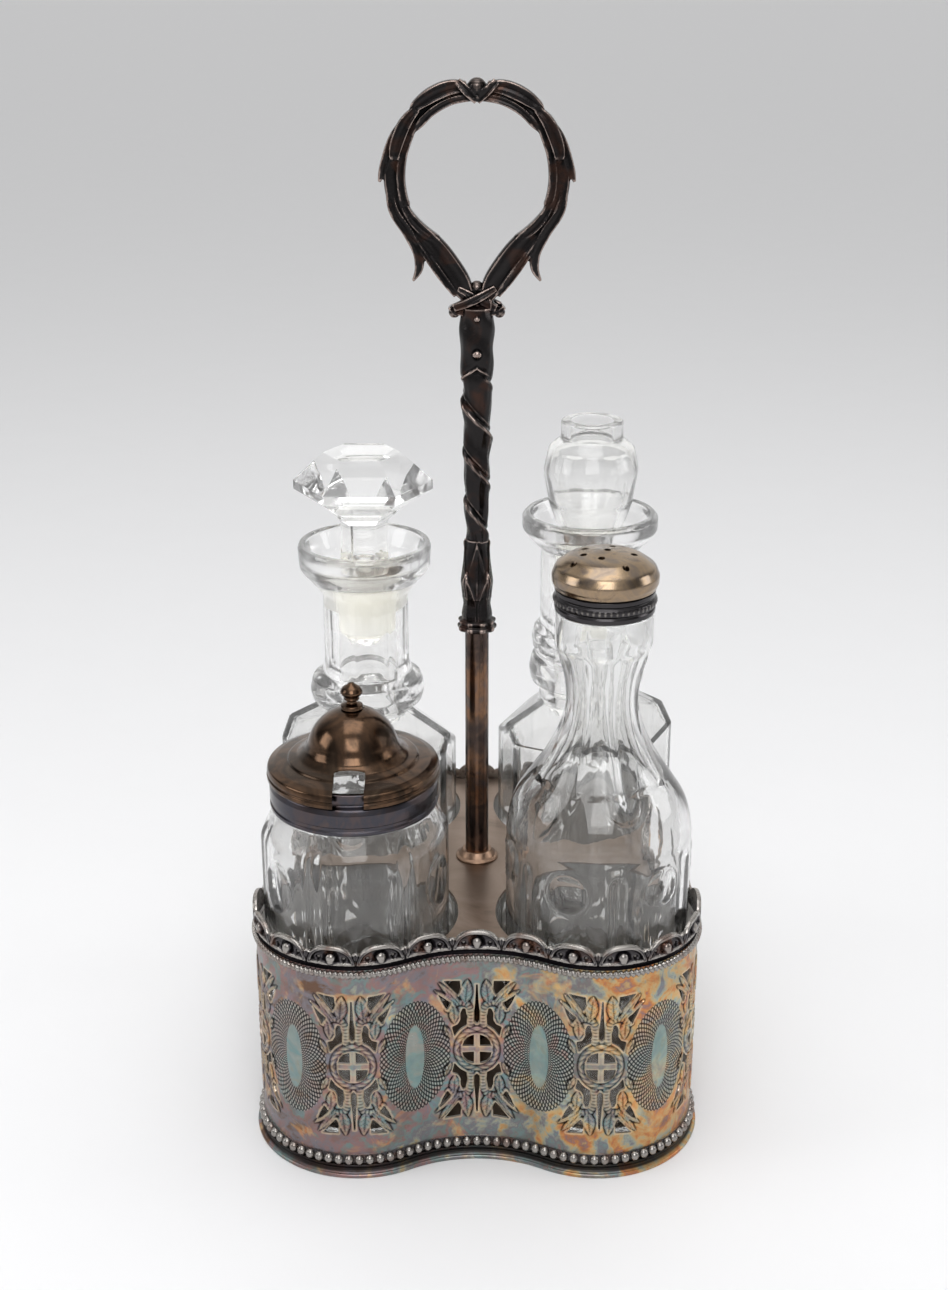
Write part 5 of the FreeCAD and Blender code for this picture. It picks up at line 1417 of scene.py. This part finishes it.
def vinegar_bottle():
    """Cut-corner bottle with two neck rings and a flared lip."""
    low, high = levels_of("vinegar_bottle")
    body = cut_corner(22.0, 24.2, 87.8, 97.2, 9.9, 20.0, 13.2, low)
    hollow = cut_corner(19.7, 21.8, 86.6, 95.6, 8.5, 20.0, 8.5, low + 4.3)
    outer = rounded([(0, low), (BLOCK_RADIUS, low), (BLOCK_RADIUS, 97.2), (13.3, 97.3), (13.3, 100.2, 0.8),
                     (15.7, 102.6, 1.8), (16.2, 106.0, 2.4), (15.5, 109.2, 1.6), (14.4, 110.6, 0.8),
                     (15.2, 112.4, 1.2), (15.5, 115.0, 1.6), (14.9, 117.8, 1.4), (13.3, 119.6, 1.2),
                     (13.3, 141.0, 2.5), (16.8, 144.6, 1.8), (18.5, 146.8, 1.6), (18.5, 150.0, 1.2),
                     (17.4, high, 0.6), (16.6, high)], 0.8)
    inner = rounded([*cut_bowl(low), (BLOCK_RADIUS, 95.6), (8.6, 95.7), (8.55, 124.0, 2.0),
                     (9.05, 143.0, 1.5), (13.0, 145.4, 2.5), (16.0, 150.2, 0.8), (16.3, high)], 1.0)
    add_piece("vinegar_glass", turned(outer, inner, 240, body, hollow, VINEGAR_PLACE), "vinegar_flask",
              [GLASS], "vinegar_bottle", sharp=34)


def vinegar_stopper():
    """Hollow blown stopper with faint panels, open at the top, on a ground plug."""
    low, high = levels_of("vinegar_stopper")

    def panelled(radius, height, turn):
        share = smooth_step(150, 158, height) * smooth_step(170, 166, height)
        return flat_sided(radius, turn, 8, 0.35 * share)

    outer = rounded([(0, low), (8.2, low, 0.8), (8.65, 143.2, 1.0), (8.7, 146.4, 2.0), (11.3, 153.6, 5.0),
                     (12.9, 163.0, 5.5), (11.6, 169.2, 2.6), (8.4, 171.9, 0.7), (8.35, high, 0.7),
                     (6.9, high)], 0.7)
    inner = rounded([(0, low + 3.6), (5.9, low + 3.6, 2.5), (6.6, 147.0, 4.0), (9.6, 154.5, 5.0),
                     (11.4, 162.6, 5.0), (9.9, 168.2, 2.2), (5.8, 171.2, 1.0), (5.7, high, 0.5),
                     (6.5, high)], 0.8)
    stopper = add_piece("vinegar_stopper_blown", turned(outer, inner, 144, panelled, None, VINEGAR_PLACE),
                        "vinegar_plug", [GLASS, FROSTED], "vinegar_stopper", sharp=40)
    mark_ground(stopper, VINEGAR_PLACE, low + 1, 143.5, inner=7.6)


def mustard_collar():
    """The mustard jar's ringed collar."""
    low, high = levels_of("mustard_collar")
    outer = rounded([(20.45, low), (21.1, low, 0.3), (21.1, low + 0.9, 0.2), (20.75, low + 1.2, 0.2),
                     (20.75, low + 2.0, 0.2), (21.1, low + 2.3, 0.2), (21.1, low + 5.4, 0.4),
                     (20.6, low + 6.8, 0.5), (18.8, low + 7.0, 0.3), (18.8, high, 0.3), (17.9, high)], 0.5)
    inner = np.array([(20.4, low + 0.1), (20.4, high - 3.6), (17.4, high - 3.6), (17.4, high - 0.1)])
    mark_wear_and_shading(add_piece("jar_collar_spun", turned(outer, inner, 160, centre=JAR_PLACE), "mustard_pot",
                        [COLLAR], "mustard_collar"), 0.3)


def mustard_lid():
    """The stepped and domed lid with its spoon notch."""
    low, high = levels_of("mustard_lid")
    dome = 11.5
    dome_level = high - dome
    swing = np.radians(np.linspace(14, 90, 22))
    crown = np.stack([dome * np.cos(swing), dome_level + dome * np.sin(swing)], 1)
    crown[-1, 0] = 0
    brim = rounded([(20.85, low), (21.6, low, 0.35), (21.65, low + 1.1, 0.3), (21.2, low + 1.5, 0.25),
                    (21.6, low + 2.0, 0.5), (21.3, low + 3.4, 0.8), (19.4, low + 4.1, 1.2),
                    (16.4, low + 4.6, 0.5), (16.0, low + 5.2, 0.5), (14.0, low + 5.7, 1.8),
                    (12.0, low + 7.4, 2.6), tuple(crown[0])], 0.5)
    inside = (dome - 0.8) * np.stack([np.cos(swing), np.sin(swing)], 1)
    inside[-1, 0] = 0
    inside[:, 1] += dome_level
    lining = np.concatenate([rounded([(20.8, low + 0.05), (20.8, low + 2.7, 0.4), (15.2, low + 3.6, 1.0),
                                      tuple(inside[0])], 0.8)[:-1], inside])
    lid = loose_object("lid_spun", turned(np.concatenate([brim[:-1], crown]), lining, 192, centre=JAR_PLACE))
    half_notch = 3.8
    front = JAR_PLACE[1] - 23.0
    back = JAR_PLACE[1] - 12.6
    pierced(lid, cutting_box((JAR_PLACE[0] - half_notch, front, low - 2),
                             (JAR_PLACE[0] + half_notch, back, low + 8)))
    dress(lid, "pot_lid", [LID], "mustard_lid", 30)


def lid_finial():
    """The turned knob on the mustard lid."""
    low, high = levels_of("lid_finial")
    finial = rounded([(0, low - 0.15), (2.9, low - 0.15, 0.2), (2.75, low + 0.8, 0.4),
                      (1.35, low + 1.4, 0.4), (1.3, low + 2.0, 0.3), (2.1, low + 2.4, 0.3),
                      (1.7, low + 2.8, 0.2), (3.05, low + 4.1, 1.1), (2.2, low + 5.4, 0.9),
                      (0.9, low + 6.2, 0.5), (0.8, high - 0.3, 0.3), (0, high)], 0.2)
    mark_wear_and_shading(add_piece("finial_knob", turned(finial, sides=48, centre=JAR_PLACE), "pot_lid",
                        [LID], "lid_finial"), 0.3)


def cutting_box(low, high):
    """A plain closed box, used only to cut with."""
    points = np.array([(x, y, z) for z in (low[2], high[2])
                       for y in (low[1], high[1])
                       for x in (low[0], high[0])])
    return points, [(0, 2, 3, 1), (4, 5, 7, 6), (0, 1, 5, 4), (1, 3, 7, 5), (3, 2, 6, 7), (2, 0, 4, 6)]


# Radius of the cap's hand-punched holes, and their places right of and behind its middle
CAP_HOLE = 0.85
CAP_HOLES = ((0.3, 0.0), (6.6, -1.0), (1.8, 4.6), (-4.9, 3.0), (-5.5, -1.6), (-8.0, -5.2), (-1.4, -4.6),
             (4.1, -8.4))


def pepper_collar():
    """The pepper bottle's collar with its row of fine beads."""
    low, high = levels_of("pepper_collar")

    def beaded(radius, height, turn):
        return radius + 0.28 * np.abs(np.sin(28 * turn)) * bump(height - (low + 2.9), 0.9)

    outer = rounded([(11.4, low), (12.2, low, 0.4), (12.25, low + 1.2, 0.3), (11.9, low + 1.7, 0.2),
                     (12.4, low + 2.2, 0.3), (12.4, low + 3.6, 0.3), (11.9, low + 4.1, 0.2),
                     (12.2, low + 4.6, 0.3), (12.2, low + 5.6, 0.2), (11.0, low + 5.7, 0.1),
                     (11.0, high, 0.2), (10.4, high)], 0.3)
    inner = np.array([(11.4, low + 0.1), (11.4, low + 4.1), (9.8, low + 4.1), (9.8, high - 0.1)])
    mark_wear_and_shading(add_piece("pepper_collar_beaded", turned(outer, inner, 224, beaded, centre=PEPPER_PLACE),
                        "pepper_pot", [BEADED], "pepper_collar"), 0.2)


def pepper_cap():
    """The low domed cap, pierced with hand-punched holes."""
    low, high = levels_of("pepper_cap")
    outer = rounded([(11.3, low), (12.4, low, 0.4), (12.6, low + 0.8, 0.3), (12.9, low + 1.4, 0.8),
                     (13.0, low + 3.2, 1.6), (12.1, low + 5.4, 2.2), (8.5, low + 7.9, 6.0), (0, high)], 0.4)
    inner = rounded([(11.2, low + 0.1), (11.2, low + 2.7, 0.8), (10.4, low + 5.2, 1.6), (7.4, low + 7.2, 4.0),
                     (0, high - 1.1)], 0.6)
    cap = loose_object("cap_pierced", turned(outer, inner, 144, centre=PEPPER_PLACE))
    drill = np.array([(0, low + 2), (CAP_HOLE, low + 2), (CAP_HOLE, high + 1), (0, high + 1)])
    drills = [turned(drill, sides=20, centre=(PEPPER_PLACE[0] + x, PEPPER_PLACE[1] + y))
              for x, y in CAP_HOLES]
    pierced(cap, join_parts(drills))
    dress(cap, "sprinkler_cap", [CAP], "pepper_cap", 50)


# ------------------------------------------------------------ stage

def studio():
    """The pale floor, the sky, the lamps and the camera."""
    pale_floor()
    soft_sky()
    softboxes()
    front_camera()
    bpy.context.scene.view_settings.view_transform = "Standard"


def pale_floor():
    """A wide sheet of pale paper."""
    half = 14.0 / MM
    floor = loose_object("floor", ([(-half, -half, 0), (half, -half, 0), (half, half, 0), (-half, half, 0)],
                                   [(0, 1, 2, 3)]))
    material, _, shader, where = start_material("floor_paper", Roughness=0.7)
    paper = noise(where, 30.0, 3.0)
    feed(shader.inputs["Base Color"], blend_colours(paper, (0.845, 0.845, 0.855), (0.86, 0.86, 0.87)))
    floor.data.materials.append(material)


def soft_sky():
    """A sky that is brighter behind the object than in front of it, and dark at both sides."""
    world = bpy.data.worlds.new("sky")
    world.use_nodes = True
    tree = world.node_tree
    tree.nodes.clear()
    across, back, up = parts_of(Signal(node(tree, "TexCoord").outputs["Generated"]))
    tone = colour_ramp(stretch(back, -1.0, 1.0), [(0.0, (0.42, 0.42, 0.43)), (0.45, (0.64, 0.64, 0.64)),
                                                  (1.0, (0.88, 0.88, 0.87))])
    aside = stretch(abs(across), 0.55, 0.85)
    raised = stretch(up, 0.06, 0.18)
    tone = blend_colours(aside * raised, tone, (0.08, 0.08, 0.085))
    sky = node(tree, "Background", Color=tone, Strength=1.10)
    tree.links.new(sky.outputs[0], node(tree, "OutputWorld").inputs["Surface"])
    bpy.context.scene.world = world


def softboxes():
    """Four square lamps, each turned to its aim, with a side in metres and a power in watts."""
    for name, place, aim, size, power in (
            ("top_softbox", (0.0, -0.12, 0.95), (0, 0, 0.0), 0.6, 2.4),
            ("front_softbox", (0.0, -0.95, 0.75), (0, -0.1, 0.0), 0.6, 4.6),
            ("left_softbox", (-0.8, -0.15, 0.45), (0, 0, 0.12), 0.38, 1.5),
            ("right_softbox", (0.85, 0.05, 0.40), (0, 0, 0.12), 0.34, 1.2)):
        lamp = bpy.data.lights.new(name, "AREA")
        lamp.shape = "SQUARE"
        lamp.size = size
        lamp.energy = power
        holder = bpy.data.objects.new(name, lamp)
        holder.location = place
        ray = np.array(aim) - np.array(place)
        tilt = math.atan2(math.hypot(ray[0], ray[1]), -ray[2])
        holder.rotation_euler = (tilt, 0, math.atan2(-ray[0], ray[1]))
        bpy.context.scene.collection.objects.link(holder)


def front_camera():
    """The camera in front of the object, looking down on it."""
    tilt_down = 21.29
    lens = bpy.data.cameras.new("camera")
    lens.sensor_width = 36.0
    lens.lens = 50.26
    lens.shift_x = -0.00225
    camera = bpy.data.objects.new("camera", lens)
    camera.location = (0.0, -0.4395, 0.2952)
    camera.rotation_euler = (math.radians(90 - tilt_down), 0, 0)
    bpy.context.scene.collection.objects.link(camera)
    bpy.context.scene.camera = camera


def finish_cad_nodes():
    """Give the CAD pieces that stay in view their metals."""
    for name, metal in (("base_plate", FLOOR_PLATE), ("top_plate", PLATE), ("post_tube", POST),
                        ("tie_rod", STEEL), ("base_washer", STEEL), ("rod_nut", STEEL)):
        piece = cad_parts[name]
        piece.data.materials.clear()
        piece.data.materials.append(metal)


studio()
finish_cad_nodes()
pierced_wall()
scalloped_rim()
rope_cord()
bead_strip()
foot()
plate_boss()
handle_ferrule()
leaf_calyx()
twisted_stem()
ring_handle()
binding_knot()
mustard_jar()
mustard_collar()
mustard_lid()
lid_finial()
pepper_bottle()
pepper_collar()
pepper_cap()
oil_bottle()
oil_stopper()
vinegar_bottle()
vinegar_stopper()
